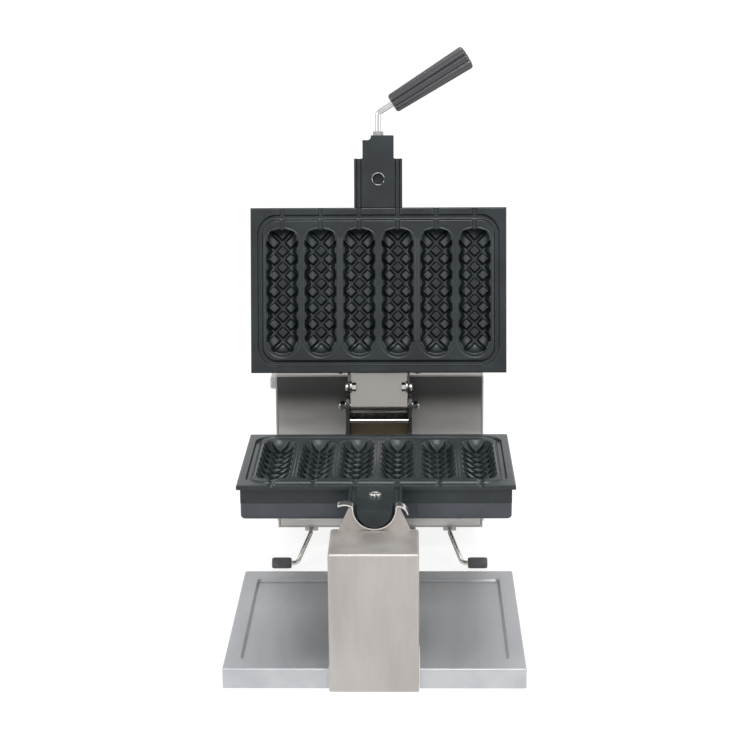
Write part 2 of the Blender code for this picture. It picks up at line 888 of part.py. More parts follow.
def yoke():
    bm, side, holes, heads = bmesh.new(), bmesh.new(), bmesh.new(), bmesh.new()
    foot_x, foot_y = arm_outer + yoke_foot_width, yoke_front + yoke_foot_thickness
    right = [
        (arm_inner, yoke_front),
        (foot_x, yoke_front),
        (foot_x, foot_y),
        (arm_outer, foot_y),
        (arm_outer, web_rear),
    ]
    outline = right + [(-x, y) for x, y in reversed(right)]
    outline += [(-arm_inner, web_front), (arm_inner, web_front)]
    add_prism(bm, outline, "XY", yoke_low - overrun, hinge_axis.z + arm_head_radius + overrun)
    reach = foot_x + overrun
    add_prism(side, yoke_side_outline(), "YZ", -reach, reach)
    across = Vector((reach, 0, 0))
    add_rod(holes, hinge_axis - across, hinge_axis + across, sleeve_bore)
    radius = cross_rod_radius + seat_gap
    add_rod(holes, cross_rod_place - across, cross_rod_place + across, radius, small_sides)
    for x in (-arm_outer - yoke_foot_width / 2, arm_outer + yoke_foot_width / 2):
        place = (x, foot_y, (under_rim + yoke_low) / 2)
        add_head(heads, place, (0, 1, 0), yoke_screw_radius, yoke_screw_head)
    bracket = solid("hinge_yoke", bm, dark_steel, rotor)
    combine(bracket, tool("hinge_yoke_side", side, rotor), "INTERSECT")
    cut(bracket, holes, rotor)
    join(bracket, heads, rotor)


def hinge_pin():
    """Pin through both arms, with an acorn nut and its washer outside each."""
    bm = bmesh.new()
    reach = arm_outer + pin_washer_height + pin_nut_height
    across = Vector((reach, 0, 0))
    add_rod(bm, hinge_axis - across, hinge_axis + across, pin_radius)
    solid("hinge_pin", bm, zinc, rotor)
    nut_top = pin_washer_height + pin_nut_height
    bore_end = reach - arm_outer
    profile = (
        (sleeve_bore, 0),
        (pin_washer_radius, 0),
        (pin_washer_radius, pin_washer_height),
        (pin_nut_radius, pin_washer_height),
        (pin_nut_radius, nut_top),
        (pin_nut_radius / 2, nut_top + pin_dome_height),
        (0, nut_top + pin_dome_height),
        (0, bore_end),
        (sleeve_bore, bore_end),
    )
    for side, word in ((-1, "left"), (1, "right")):
        nut = bmesh.new()
        base = hinge_axis + Vector((side * (arm_outer + seat_gap), 0, 0))
        add_turned(nut, profile, base, (side, 0, 0), small_sides)
        solid("pin_nut_" + word, nut, polished, rotor)


def cross_rod():
    bm = bmesh.new()
    across = Vector((arm_outer, 0, 0))
    add_rod(bm, cross_rod_place - across, cross_rod_place + across, cross_rod_radius, small_sides)
    solid("cross_rod", bm, polished, rotor)


yoke()
hinge_pin()
cross_rod()

# Hinge plate: a polished plate whose end is rolled round the pin's sleeve, with two tabs for the lug bolts
lug_bolt = hinge_axis - Vector((0, lug_bolt_forward, lug_bolt_drop))
bar_rear = body_rear + seat_gap + hinge_bar_thickness
tab_inner = hinge_half_width - knuckle_wall
lug_inner = hinge_half_width + seat_gap
lug_outer = lug_inner + lug_thickness
across_lugs = Vector((arm_outer, 0, 0))


def lug_holes():
    bm = bmesh.new()
    add_rod(bm, lug_bolt - across_lugs, lug_bolt + across_lugs, lug_bolt_radius + seat_gap, small_sides)
    return bm


def hinge_plate():
    bm, tabs, sleeve = bmesh.new(), bmesh.new(), bmesh.new()
    centre = (hinge_axis.y, hinge_axis.z)
    start = bar_rear + seat_gap
    profile = [(start, hinge_axis.z - knuckle_outer)]
    profile += arc(centre, knuckle_outer, -90, -90 + knuckle_turn, knuckle_steps)
    profile += arc(centre, knuckle_inner, -90 + knuckle_turn, -90, knuckle_steps)
    profile.append((start, hinge_axis.z - knuckle_inner))
    add_prism(bm, profile, "YZ", -hinge_half_width, hinge_half_width)
    top = hinge_axis.z - knuckle_outer + knuckle_wall / 2
    outline = [(lug_bolt.y + lug_radius, top), (lug_bolt.y - lug_radius, top)]
    outline += arc((lug_bolt.y, lug_bolt.z), lug_radius, 180, 360, 6)
    for side in (-1, 1):
        low, high = sorted((side * tab_inner, side * hinge_half_width))
        add_prism(tabs, outline, "YZ", low, high)
    plate = solid("hinge_plate", bm, polished, lid)
    join(plate, tabs, lid)
    cut(plate, lug_holes(), lid)
    length = 2 * hinge_half_width
    profile = ((sleeve_bore, 0), (sleeve_radius, 0), (sleeve_radius, length), (sleeve_bore, length))
    start = hinge_axis - Vector((hinge_half_width, 0, 0))
    add_turned(sleeve, profile, start, (1, 0, 0), shaft_sides)
    solid("hinge_sleeve", sleeve, bronze, lid)


def hinge_lugs():
    """A bar across the back of the upper iron, with two lugs outside the hinge plate's tabs."""
    bm, lugs, heads = bmesh.new(), bmesh.new(), bmesh.new()
    side = lug_outer + hinge_bar_overhang
    low = 2 * rotor_height - under_rim
    high = low + hinge_bar_height
    add_box(bm, (-side, body_rear + seat_gap, low), (side, bar_rear, high))
    foot = bar_rear - hinge_bar_thickness / 2
    neck = lug_bolt.z + lug_radius
    outline = [(foot, neck), (foot, low), (half_length, low), (lug_bolt.y, lug_bolt.z - lug_radius)]
    outline += arc((lug_bolt.y, lug_bolt.z), lug_radius, -90, 90, 6)[1:]
    for turn in (-1, 1):
        inner, outer = sorted((turn * lug_inner, turn * lug_outer))
        add_prism(lugs, outline, "YZ", inner, outer)
        for level in (low + hinge_bar_height / 4, high - hinge_bar_height / 4):
            place = (turn * (side - hinge_bar_overhang / 2), bar_rear, level)
            add_head(heads, place, (0, 1, 0), yoke_screw_radius, yoke_screw_head)
    bar = solid("hinge_lugs", bm, dark_steel, lid)
    join(bar, lugs, lid)
    cut(bar, lug_holes(), lid)
    join(bar, heads, lid)


def lug_bolts():
    """On each side, a bolt through the lug and the tab, with its head outside and its nut inside."""
    nut_seat = tab_inner - seat_gap
    shank_end = lug_outer - nut_seat + lug_nut_height + seat_gap
    head_low = -seat_gap - lug_bolt_head_height
    bolt_profile = (
        (0, head_low),
        (lug_bolt_head_radius / 2, head_low),
        (lug_bolt_head_radius, head_low / 2),
        (lug_bolt_head_radius, -seat_gap),
        (lug_bolt_radius, -seat_gap),
        (lug_bolt_radius, shank_end),
        (0, shank_end),
    )
    bore = lug_bolt_radius + seat_gap
    for side, word in ((-1, "left"), (1, "right")):
        bolt, inward = bmesh.new(), (-side, 0, 0)
        add_turned(bolt, bolt_profile, lug_bolt + Vector((side * lug_outer, 0, 0)), inward, small_sides)
        solid("lug_bolt_" + word, bolt, zinc, lid)
        seat = lug_bolt + Vector((side * nut_seat, 0, 0))
        hex_nut("lug_nut_" + word, seat, inward, lug_nut_radius, lug_nut_height, bore, zinc, lid)


hinge_plate()
hinge_lugs()
lug_bolts()

# Rear shaft with its bearing
panel_front = box_front + box_reveal
panel_back = panel_front + sheet
shaft_flange_front = web_rear + seat_gap
shaft_flange_rear = shaft_flange_front + shaft_flange_thickness
bearing_front = panel_front - seat_gap - bearing_flange_thickness
bearing_back = panel_front - seat_gap + bearing_length
shaft_bore = shaft_radius + seat_gap
bush_radius = shaft_bore + bush_wall
bearing_bore = bush_radius + seat_gap
bearing_radius = bearing_bore + bearing_wall
collar_front = bearing_back + seat_gap
collar_back = collar_front + collar_length
backwards = Vector((0, 1, 0))


def at_axis(y):
    return rotor_axis + Vector((0, y, 0))


def ring(name, inner, outer, front, back, finish, holder=None):
    bm = bmesh.new()
    length = back - front
    profile = ((inner, 0), (outer, 0), (outer, length), (inner, length))
    add_turned(bm, profile, at_axis(front), backwards, shaft_sides)
    solid(name, bm, finish, holder)


def bolt_circle(radius):
    """Four places round the rotor's axis, on the diagonals."""
    return arc((0, rotor_height), radius, 45, 315, 3)


def rotor_shaft():
    bm = bmesh.new()
    length = collar_back + shaft_end_reach - shaft_flange_front
    profile = (
        (0, 0),
        (shaft_flange_radius, 0),
        (shaft_flange_radius, shaft_flange_thickness),
        (shaft_radius, shaft_flange_thickness),
        (shaft_radius, length),
        (0, length),
    )
    add_turned(bm, profile, at_axis(shaft_flange_front), backwards, shaft_sides)
    solid("rotor_shaft", bm, dark_steel, rotor)
    ring("shaft_collar", shaft_bore, collar_radius, collar_front, collar_back, zinc, rotor)


def bearing():
    bm, heads = bmesh.new(), bmesh.new()
    length = bearing_back - bearing_front
    profile = (
        (bearing_bore, 0),
        (bearing_flange_radius, 0),
        (bearing_flange_radius, bearing_flange_thickness),
        (bearing_radius, bearing_flange_thickness),
        (bearing_radius, length),
        (bearing_bore, length),
    )
    add_turned(bm, profile, at_axis(bearing_front), backwards)
    for x, z in bolt_circle(bearing_bolt_circle):
        add_head(heads, (x, bearing_front, z), -backwards, bearing_bolt_head_radius, bearing_bolt_head_height)
    housing = solid("bearing_housing", bm, cast_coating)
    join(housing, heads)
    ring("bearing_bush", shaft_bore, bush_radius, bearing_front, bearing_back, bronze)
    front, back = shaft_flange_rear + seat_gap, bearing_front - seat_gap
    ring("thrust_washer", shaft_bore, thrust_washer_radius, front, back, bronze)


rotor_shaft()
bearing()

# Handle
handle_level = rotor_height + handle_rise
side_turn = math.radians(handle_side_angle)
handle_way = Vector((math.sin(side_turn), -math.cos(side_turn), 0))
handle_corner = Vector((0, journal_front - handle_straight, handle_level))
grip_start = handle_corner + handle_way * handle_neck


def handle():
    rod_end = grip_start + handle_way * (grip_rod_seat - seat_gap)
    rod_start = Vector((0, journal_front + handle_rod_seat, handle_level))
    path = bent_path([rod_start, handle_corner, rod_end], handle_bend_radius)
    tube("handle_rod", path, handle_rod_radius, polished, lid)
    seat, bore = (0, journal_front - seat_gap, handle_level), handle_rod_radius + seat_gap
    hex_nut("handle_nut", seat, -backwards, handle_nut_radius, handle_nut_height, bore, zinc, lid)
    grip()


def fluted_outline(radius, flutes, depth):
    """A circle with shallow flutes, as on a moulded grip or knob."""
    points = []
    sides = flutes * flute_points
    for side in range(sides):
        angle = math.tau * side / sides
        reach = radius - depth * (1 - math.cos(angle * flutes)) / 2
        points.append((reach * math.cos(angle), reach * math.sin(angle)))
    return points


def grip():
    """A tapered, fluted grip with rounded ends, bored for the rod."""
    bm, bore = bmesh.new(), bmesh.new()
    levels = [(0, grip_end_round), (grip_end_round, 0)]
    levels += [(grip_length - grip_end_round, 0), (grip_length, grip_end_round)]
    rings = []
    for distance, inset in levels:
        radius = grip_small_radius + (grip_large_radius - grip_small_radius) * distance / grip_length - inset
        outline = fluted_outline(radius, grip_flutes, grip_flute_depth)
        rings.append([Vector((x, y, distance)) for x, y in outline])
    made = add_loft(bm, rings)
    turn = handle_way.to_track_quat("Z", "Y").to_matrix().to_4x4()
    bmesh.ops.transform(bm, matrix=Matrix.Translation(grip_start) @ turn, verts=made)
    start, end = grip_start - handle_way * overrun, grip_start + handle_way * grip_rod_seat
    add_rod(bore, start, end, handle_rod_radius + seat_gap, small_sides)
    piece = solid("handle_grip", bm, phenolic, lid, sharp_angle=50)
    cut(piece, bore, lid)


handle()

# Front column: a folded sheet post with two ears that hold the cradle liner
ear_top = ledge_height + ear_height
notch_radius = liner_radius + liner_thickness + seat_gap


def folded_post(half_x, front, back, low, top, radius):
    """A block with its upright front corners and its top edges rounded, other than at the back."""
    bm = bmesh.new()
    add_box(bm, (-half_x, front, low), (half_x, back, top))
    edges = []
    for edge in bm.edges:
        middle = (edge.verts[0].co + edge.verts[1].co) / 2
        at_front, at_top = middle.y < (front + back) / 2, middle.z > top / 2
        at_side = abs(middle.x) > half_x / 2
        upright = abs(edge.verts[0].co.z - edge.verts[1].co.z) > top / 2
        if at_front and (upright or (at_top and not at_side)) or (at_top and at_side and not upright):
            edges.append(edge)
    bmesh.ops.bevel(bm, geom=edges, offset=radius, segments=bend_steps, affect="EDGES", profile=0.5)
    return bm


def front_column():
    half_x = column_width / 2
    bm = folded_post(half_x, -column_front, column_rear, 0, ledge_height, column_bend)
    inside = folded_post(
        half_x - column_wall,
        -column_front + column_wall,
        column_rear - column_wall,
        -overrun,
        ledge_height - column_wall,
        column_bend - column_wall,
    )
    ears, mouth = bmesh.new(), bmesh.new()
    outline = [
        (-ear_base_half_width, ledge_height - column_wall / 2),
        (ear_base_half_width, ledge_height - column_wall / 2),
        (ear_peak_half_width, ear_top),
    ]
    high = math.degrees(math.asin((ear_top - liner_centre) / notch_radius))
    outline += arc((0, liner_centre), notch_radius, high, -180 - high, 15)
    outline.append((-ear_peak_half_width, ear_top))
    add_prism(ears, outline, "XZ", column_rear - column_wall, column_rear)
    column = solid("front_column", bm, stainless)
    cut(column, inside)
    join(column, ears)
    rail_side = half_x - column_wall
    add_box(
        mouth,
        (-rail_side, column_rear - column_wall - overrun, -overrun),
        (rail_side, column_rear + overrun, rail_height + seat_gap),
    )
    cut(column, mouth)


def strip_outline(path, thickness):
    """The outline of a bent strip that follows a path of 2D points."""
    points = [Vector(point) for point in path]
    left, right = [], []
    for index, point in enumerate(points):
        before, after = points[max(index - 1, 0)], points[min(index + 1, len(points) - 1)]
        along = (after - before).normalized()
        normal = Vector((-along.y, along.x)) * (thickness / 2)
        left.append(point + normal)
        right.append(point - normal)
    return [tuple(point) for point in left + right[::-1]]


def lip(side, turn, reach):
    """The path of a lip from the cradle's upright side: an outward bend and a straight end."""
    middle = liner_radius + liner_thickness / 2
    centre = middle + lip_radius
    path = [(centre - x, z) for x, z in arc((0, liner_centre), lip_radius, 0, turn, lip_steps)]
    end = math.radians(turn)
    path.append((path[-1][0] + reach * math.sin(end), path[-1][1] + reach * math.cos(end)))
    return [(side * x, z) for x, z in path]


def cradle_liner():
    """A bent strip in the column's notch, in which the front journal turns."""
    bm = bmesh.new()
    middle = liner_radius + liner_thickness / 2
    path = lip(-1, left_lip_turn, left_lip_reach)[::-1]
    path += arc((0, liner_centre), middle, 180, 360, liner_steps)[1:-1]
    path += lip(1, right_lip_turn, right_lip_reach)
    front = column_rear - column_wall - liner_front_reach
    add_prism(bm, strip_outline(path, liner_thickness), "XZ", front, front + liner_depth)
    solid("cradle_liner", bm, polished)


front_column()
cradle_liner()

# Base rail and pedestal
floor_low = box_bottom
floor_top = floor_low + sheet
rail_half = column_width / 2 - column_wall - seat_gap


def base_rail():
    """A flat rectangular tube on the counter, from inside the column to under the control box."""
    bm, bore = bmesh.new(), bmesh.new()
    front, back = -column_front + column_bend + seat_gap, box_rear - rail_rear_inset
    add_box(bm, (-rail_half, front, 0), (rail_half, back, rail_height))
    inner = rail_half - rail_wall
    add_box(bore, (-inner, front - overrun, rail_wall), (inner, back + overrun, rail_height - rail_wall))
    cut(solid("base_rail", bm, stainless), bore)
    post = bmesh.new()
    side, near = pedestal_width / 2, box_front + pedestal_inset
    low, high = rail_height + seat_gap, floor_low - seat_gap
    add_box(post, (-side, near, low), (side, near + pedestal_length, high))
    solid("rear_pedestal", post, dark_steel)


base_rail()

# Drip tray
tray_half = tray_width / 2
tray_back = -tray_front + tray_length
tray_middle = -tray_front + tray_length / 2


def tray_block(inset, low, high, corner):
    outline = rounded_rectangle(tray_half - inset, tray_length / 2 - inset, corner, 3)
    bm = bmesh.new()
    add_prism(bm, [(x, y + tray_middle) for x, y in outline], "XY", low, high)
    return bm


def tray_recess_block(grow, low, high):
    """The sunk middle of the tray, which narrows towards its floor."""
    bm = bmesh.new()
    rings = []
    half_x, half_y = tray_half - tray_side_rim + grow, tray_length / 2 - tray_end_rim + grow
    for level, inset in ((low, tray_recess_slope), (high, 0)):
        corner = tray_recess_corner - inset + grow
        outline = rounded_rectangle(half_x - inset, half_y - inset, corner, 3)
        rings.append([Vector((x, y + tray_middle, level)) for x, y in outline])
    add_loft(bm, rings)
    return bm


def drip_tray():
    """A sheet tray on its own flanges, notched for the column and for the base rail."""
    tray = solid("drip_tray", tray_block(0, 0, tray_height, tray_corner_round), stainless)
    under = tool(
        "drip_tray_under",
        tray_block(tray_sheet, -overrun, tray_height - tray_sheet, tray_corner_round - tray_sheet),
    )
    floor = tray_height - tray_recess
    combine(under, tool("drip_tray_sunk", tray_recess_block(tray_sheet, floor - tray_sheet, tray_height)))
    combine(tray, under)
    cut(tray, tray_recess_block(0, floor, tray_height + overrun))
    notch = bmesh.new()
    side = column_width / 2 + tray_notch_clearance
    add_box(
        notch,
        (-side, -tray_front - overrun, -overrun),
        (side, column_rear + tray_notch_clearance, tray_height + overrun),
    )
    cut(tray, notch)
    mouth = bmesh.new()
    side = rail_half + tray_rail_clearance
    add_box(
        mouth,
        (-side, tray_back - tray_sheet - overrun, -overrun),
        (side, tray_back + overrun, rail_height + tray_rail_clearance),
    )
    cut(tray, mouth)


drip_tray()

# Control box
cover_inner = box_half - box_hem
hem_depth = 4 * box_hem
panel_half = cover_inner - seat_gap
panel_top = box_top - box_hem - seat_gap
control_height = box_bottom + knob_rise


def box_block(half_x, front, back, low, top, bend):
    """A block with its two long top edges rounded by the sheet's bend."""
    bm = bmesh.new()
    outline = [(-half_x, low), (half_x, low)]
    outline += arc((half_x - bend, top - bend), bend, 0, 90, 3)
    outline += arc((bend - half_x, top - bend), bend, 90, 180, 3)
    add_prism(bm, outline, "XZ", front, back)
    return bm


def box_cover():
    """A wrap over the top and both sides, with hemmed front edges."""
    bend = box_hem + sheet
    cover = solid("box_cover", box_block(box_half, box_front, box_rear, box_bottom, box_top, bend), stainless)
    low = box_bottom - overrun
    hem_back = box_front + hem_depth
    cut(cover, box_block(cover_inner, box_front - overrun, hem_back, low, box_top - box_hem, sheet))
    inner, top = box_half - sheet, box_top - sheet
    cut(cover, box_block(inner, hem_back - overrun, box_rear + overrun, low, top, box_hem))
    heads, hole = bmesh.new(), bmesh.new()
    for side in (-1, 1):
        for y in (box_front + hem_depth + box_screw_inset, box_rear - box_screw_inset):
            place = (side * box_half, y, box_bottom + box_screw_inset)
            add_head(heads, place, (side, 0, 0), box_screw_radius, box_screw_head)
    join(cover, heads)
    add_box(hole, *switch_box(seat_gap, -sheet - overrun, overrun))
    cut(cover, hole)


def switch_box(grow, inner, outer):
    """Corners of a block round the switch on the left side, between two depths from that side's face."""
    y, z = box_front + switch_setback, box_top - switch_drop
    half_y, half_z = switch_length / 2 + grow, switch_width / 2 + grow
    return (-box_half - outer, y - half_y, z - half_z), (-box_half - inner, y + half_y, z + half_z)


def panel(name, face, back):
    """A sheet panel with returns folded back round its edge."""
    low, high = floor_top + seat_gap, panel_top
    hollow = bmesh.new()
    inward = 1 if back > face else -1
    near, far = sorted((face, back))
    bm = box_block(panel_half, near, far, low, high, sheet)
    inner = panel_half - sheet
    near, far = sorted((face + inward * sheet, back + inward * overrun))
    add_box(hollow, (-inner, near, low + sheet), (inner, far, high - sheet))
    piece = solid(name, bm, stainless)
    cut(piece, hollow)
    return piece


def box_panels():
    front = panel("box_front_panel", panel_front, panel_front + panel_return)
    holes = bmesh.new()
    fore, aft = panel_front - overrun, panel_back + overrun
    add_rod(holes, at_axis(fore), at_axis(aft), bearing_radius + seat_gap)
    for side in (-1, 1):
        for spread, radius in ((knob_spread, knob_stem_radius), (lamp_spread, lamp_radius)):
            place = Vector((side * spread, fore, control_height))
            add_rod(holes, place, place + backwards * (aft - fore), radius + seat_gap, small_sides)
    cut(front, holes)
    rear = panel("box_rear_panel", box_rear - box_reveal, box_rear - box_reveal - panel_return)
    slots = bmesh.new()
    for side in (-1, 1):
        for index in range(vent_count):
            x, z = side * vent_offset, box_top - vent_drop - index * vent_pitch
            half_x, half_z = vent_length / 2, vent_height / 2
            add_box(
                slots,
                (x - half_x, box_rear - box_reveal - sheet - overrun, z - half_z),
                (x + half_x, box_rear + overrun, z + half_z),
            )
    start = Vector((-gland_side, box_rear - box_reveal - sheet - overrun, box_bottom + gland_rise))
    add_rod(slots, start, start + backwards * (sheet + 2 * overrun), gland_radius + seat_gap)
    cut(rear, slots)


def box_floor():
    """The floor, with flanges that stand up inside the cover's sides."""
    bm, flange, trim = bmesh.new(), bmesh.new(), bmesh.new()
    side = box_half - sheet - seat_gap
    inner = side - sheet
    fore = panel_front + panel_return + seat_gap
    aft = box_rear - box_reveal - panel_return - seat_gap
    add_box(bm, (-side, box_front + box_reveal, floor_low), (side, box_rear - box_reveal, floor_top))
    for turn in (-1, 1):
        low_x, high_x = sorted((turn * inner, turn * side))
        add_box(flange, (low_x, fore, floor_low + sheet / 2), (high_x, aft, floor_top + panel_return))
    floor = solid("box_floor", bm, stainless)
    join(floor, flange)
    for turn in (-1, 1):
        low_x, high_x = sorted((turn * panel_half, turn * box_half))
        add_box(trim, (low_x, box_front, floor_low - overrun), (high_x, fore, floor_top + overrun))
    cut(floor, trim)


box_cover()
box_panels()
box_floor()


# Controls
def dials_and_knobs():
    plate_back = panel_front - seat_gap
    for side, word, name in ((-1, "left", "timer"), (1, "right", "thermostat")):
        centre = Vector((side * knob_spread, 0, control_height))
        dial = bmesh.new()
        bore = knob_stem_radius + seat_gap
        profile = ((bore, 0), (dial_radius, 0), (dial_radius, dial_thickness), (bore, dial_thickness))
        add_turned(dial, profile, centre + backwards * plate_back, -backwards)
        solid("dial_plate_" + word, dial, polished)
        knob(name + "_knob", centre, plate_back - dial_thickness - knob_turn_gap)
        size, depth = (timer_size, timer_depth) if name == "timer" else (thermostat_size, thermostat_depth)
        body = bmesh.new()
        near = panel_back + seat_gap
        low = centre + Vector((-size / 2, near, -size / 2))
        high = centre + Vector((size / 2, near + depth, size / 2))
        add_box(body, low, high)
        hole = bmesh.new()
        add_rod(
            hole,
            centre + backwards * (near - overrun),
            centre + backwards * (near + knob_stem_seat + seat_gap),
            knob_stem_radius + seat_gap,
            small_sides,
        )
        cut(solid(name + "_body", body, grey_plastic), hole)


def knob(name, centre, back):
    """A knob with a skirt, a fluted cap and a pointer rib, on a stem into the body behind the panel."""
    place = centre + backwards * back
    holder = carrier(name + "_axis", place)
    bm, rib, cap = bmesh.new(), bmesh.new(), bmesh.new()
    stem = panel_back + seat_gap + knob_stem_seat - back
    profile = (
        (0, -stem),
        (knob_stem_radius, -stem),
        (knob_stem_radius, 0),
        (knob_skirt_radius, 0),
        (knob_skirt_radius, knob_skirt_height / 2),
        (knob_radius, knob_skirt_height),
        (0, knob_skirt_height),
    )
    add_turned(bm, profile, place, -backwards)
    rings = []
    for distance, inset in ((knob_skirt_height / 2, 0), (knob_height, knob_flute_depth)):
        outline = fluted_outline(knob_radius - inset, knob_flutes, knob_flute_depth)
        rings.append([place + Vector((x, -distance, z)) for x, z in outline])
    add_loft(cap, rings)
    half = knob_stem_radius / 3
    add_box(
        rib,
        place + Vector((-half, -knob_height - 2 * half, 0)),
        place + Vector((half, -knob_height / 2, knob_radius - 2 * knob_flute_depth)),
    )
    piece = solid(name, bm, black_plastic, holder)
    join(piece, cap, holder)
    join(piece, rib, holder)


def lamps():
    """Signal lamps through the front panel, each with a bezel, a domed lens and a body behind the panel."""
    for side, word, finish in ((-1, "power", lamp_green), (1, "heat", lamp_red)):
        bm = bmesh.new()
        bezel = lamp_bezel_height + seat_gap
        behind = -sheet - lamp_body_depth
        profile = (
            (0, behind),
            (lamp_radius, behind),
            (lamp_radius, seat_gap),
            (lamp_bezel_radius, seat_gap),
            (lamp_bezel_radius, bezel),
            (lamp_radius, bezel),
            (lamp_radius / 2, bezel + lamp_dome),
            (0, bezel + lamp_dome),
        )
        place = (side * lamp_spread, panel_front, control_height)
        add_turned(bm, profile, place, -backwards, small_sides)
        solid("lamp_" + word, bm, finish)


def switch():
    """A rocker switch high on the left side, under a clear splash boot."""
    body, well, boot, hollow, bm = [bmesh.new() for _ in range(5)]
    add_box(body, *switch_box(0, -switch_body_depth, seat_gap))
    flange = bmesh.new()
    add_box(flange, *switch_box(switch_wall, seat_gap, seat_gap + switch_bezel_height))
    add_box(well, *switch_box(-switch_wall, -switch_well_depth, switch_bezel_height + overrun))
    piece = solid("switch_body", body, black_plastic)
    join(piece, flange)
    cut(piece, well)
    face = -box_half - seat_gap - switch_bezel_height
    pivot = Vector((face + rocker_pivot_depth, box_front + switch_setback, box_top - switch_drop))
    holder = carrier("rocker_axis", pivot)
    half_y = switch_length / 2 - switch_wall - seat_gap
    half_z = switch_width / 2 - switch_wall - seat_gap
    low, high = pivot.x + rocker_pivot_depth / 2, face - rocker_rise / 2
    outline = [
        (low, pivot.y - half_y / 2),
        (low, pivot.y + half_y / 2),
        (pivot.x, pivot.y + half_y * math.cos(math.radians(rocker_tilt))),
        (face - rocker_rise, pivot.y + half_y * math.cos(math.radians(rocker_tilt)) - rocker_rise),
        (high, pivot.y),
        (face - rocker_rise, pivot.y - half_y * math.cos(math.radians(rocker_tilt)) + rocker_rise),
        (pivot.x, pivot.y - half_y * math.cos(math.radians(rocker_tilt))),
    ]
    add_prism(bm, outline, "XY", pivot.z - half_z, pivot.z + half_z)
    solid("switch_rocker", bm, black_plastic, holder)
    grown = switch_wall + boot_margin + boot_wall
    add_box(boot, *switch_box(grown, seat_gap, boot_height))
    add_box(hollow, *switch_box(grown - boot_wall, seat_gap - overrun, boot_height - boot_wall))
    cover = solid("switch_boot", boot, clear_rubber)
    cut(cover, hollow)


def terminal_block():
    """The terminal block on the box floor, with a groove between each pair of poles."""
    bm, grooves = bmesh.new(), bmesh.new()
    y = (box_front + box_rear) / 2 + terminal_width
    low, high = floor_top + seat_gap, floor_top + seat_gap + terminal_height
    add_box(bm, (-terminal_length / 2, y, low), (terminal_length / 2, y + terminal_width, high))
    for index in range(1, terminal_poles):
        x, half = terminal_length * (index / terminal_poles - 1 / 2), terminal_groove / 2
        near, far = y - overrun, y + terminal_width + overrun
        add_box(grooves, (x - half, near, high - terminal_height / 3), (x + half, far, high + overrun))
    cut(solid("terminal_block", bm, white_ceramic), grooves)


def cord_gland():
    bm = bmesh.new()
    behind = -box_reveal - sheet - gland_height / 2
    profile = (
        (gland_bore, behind),
        (gland_radius, behind),
        (gland_radius, -box_reveal + seat_gap),
        (gland_nut_radius, -box_reveal + seat_gap),
        (gland_nut_radius, gland_nut_height),
        (gland_radius, gland_nut_height),
        (gland_radius * 3 / 4, gland_height),
        (gland_bore, gland_height),
    )
    add_turned(bm, profile, (-gland_side, box_rear, box_bottom + gland_rise), backwards, small_sides)
    solid("cord_gland", bm, black_plastic)


dials_and_knobs()
lamps()
switch()
terminal_block()
cord_gland()

# Legs and feet
leg_level = floor_low - seat_gap - leg_rod_radius


def leg(side, word):
    """A bent rod clipped under the floor, with a rubber cap on its toe."""
    toe_x, toe_y, toe_z = leg_toe_spread, leg_toe_forward, leg_cap_radius
    outer = leg_cap_start + leg_cap_length
    corners = [
        (side * leg_spread, box_front + leg_reach_back, leg_level),
        (side * leg_spread, box_front - leg_drop_start, leg_level),
        (side * toe_x, toe_y, toe_z),
        (side * (outer - leg_cap_wall), toe_y, toe_z),
    ]
    tube("leg_rod_" + word, bent_path(corners, leg_bend), leg_rod_radius, polished)
    cap = bmesh.new()
    bore, end = leg_rod_radius + seat_gap, leg_cap_length - leg_cap_wall + seat_gap
    waist = leg_cap_radius * leg_cap_waist_share
    profile = (
        (bore, 0),
        (waist, 0),
        (leg_cap_radius, leg_cap_wall),
        (leg_cap_radius, leg_cap_length - leg_cap_wall),
        (waist, leg_cap_length),
        (0, leg_cap_length),
        (0, end),
        (bore, end),
    )
    add_turned(cap, profile, (side * leg_cap_start, toe_y, toe_z), (side, 0, 0), small_sides)
    solid("leg_cap_" + word, cap, rubber)
    clip, channel = bmesh.new(), bmesh.new()
    half, near = leg_clip_width / 2, box_front + leg_clip_inset
    low, high = leg_level - leg_rod_radius - seat_gap - leg_clip_wall, floor_low - seat_gap
    x = side * leg_spread
    add_box(clip, (x - half, near, low), (x + half, near + leg_clip_length, high))
    reach, radius = leg_clip_length + overrun, leg_rod_radius + seat_gap
    add_rod(channel, (x, near - overrun, leg_level), (x, near + reach, leg_level), radius, small_sides)
    slot = bmesh.new()
    add_box(slot, (x - radius, near - overrun, leg_level), (x + radius, near + reach, high + overrun))
    piece = solid("leg_clip_" + word, clip, dark_steel)
    cut(piece, channel)
    cut(piece, slot)


def rear_foot(side, word):
    bm = bmesh.new()
    height = floor_low - seat_gap
    profile = (
        (0, 0),
        (foot_radius - foot_taper, 0),
        (foot_radius, foot_taper),
        (foot_radius - foot_taper, height),
        (0, height),
    )
    add_turned(bm, profile, (side * (box_half - foot_inset), box_rear - foot_inset, 0), (0, 0, 1))
    solid("rear_foot_" + word, bm, rubber)


for side, word in ((-1, "left"), (1, "right")):
    leg(side, word)
    rear_foot(side, word)
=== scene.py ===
"""Looks of the corn dog waffle maker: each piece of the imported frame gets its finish, or a finer mesh in its place.

Metres, +Z up, +X to the right and +Y to the back, as in the frame. Pieces of the lid are made in their closed
place and turned open with the lid.
"""

import json
import math

import bmesh
import bpy
import numpy as np
from mathutils import Matrix, Vector


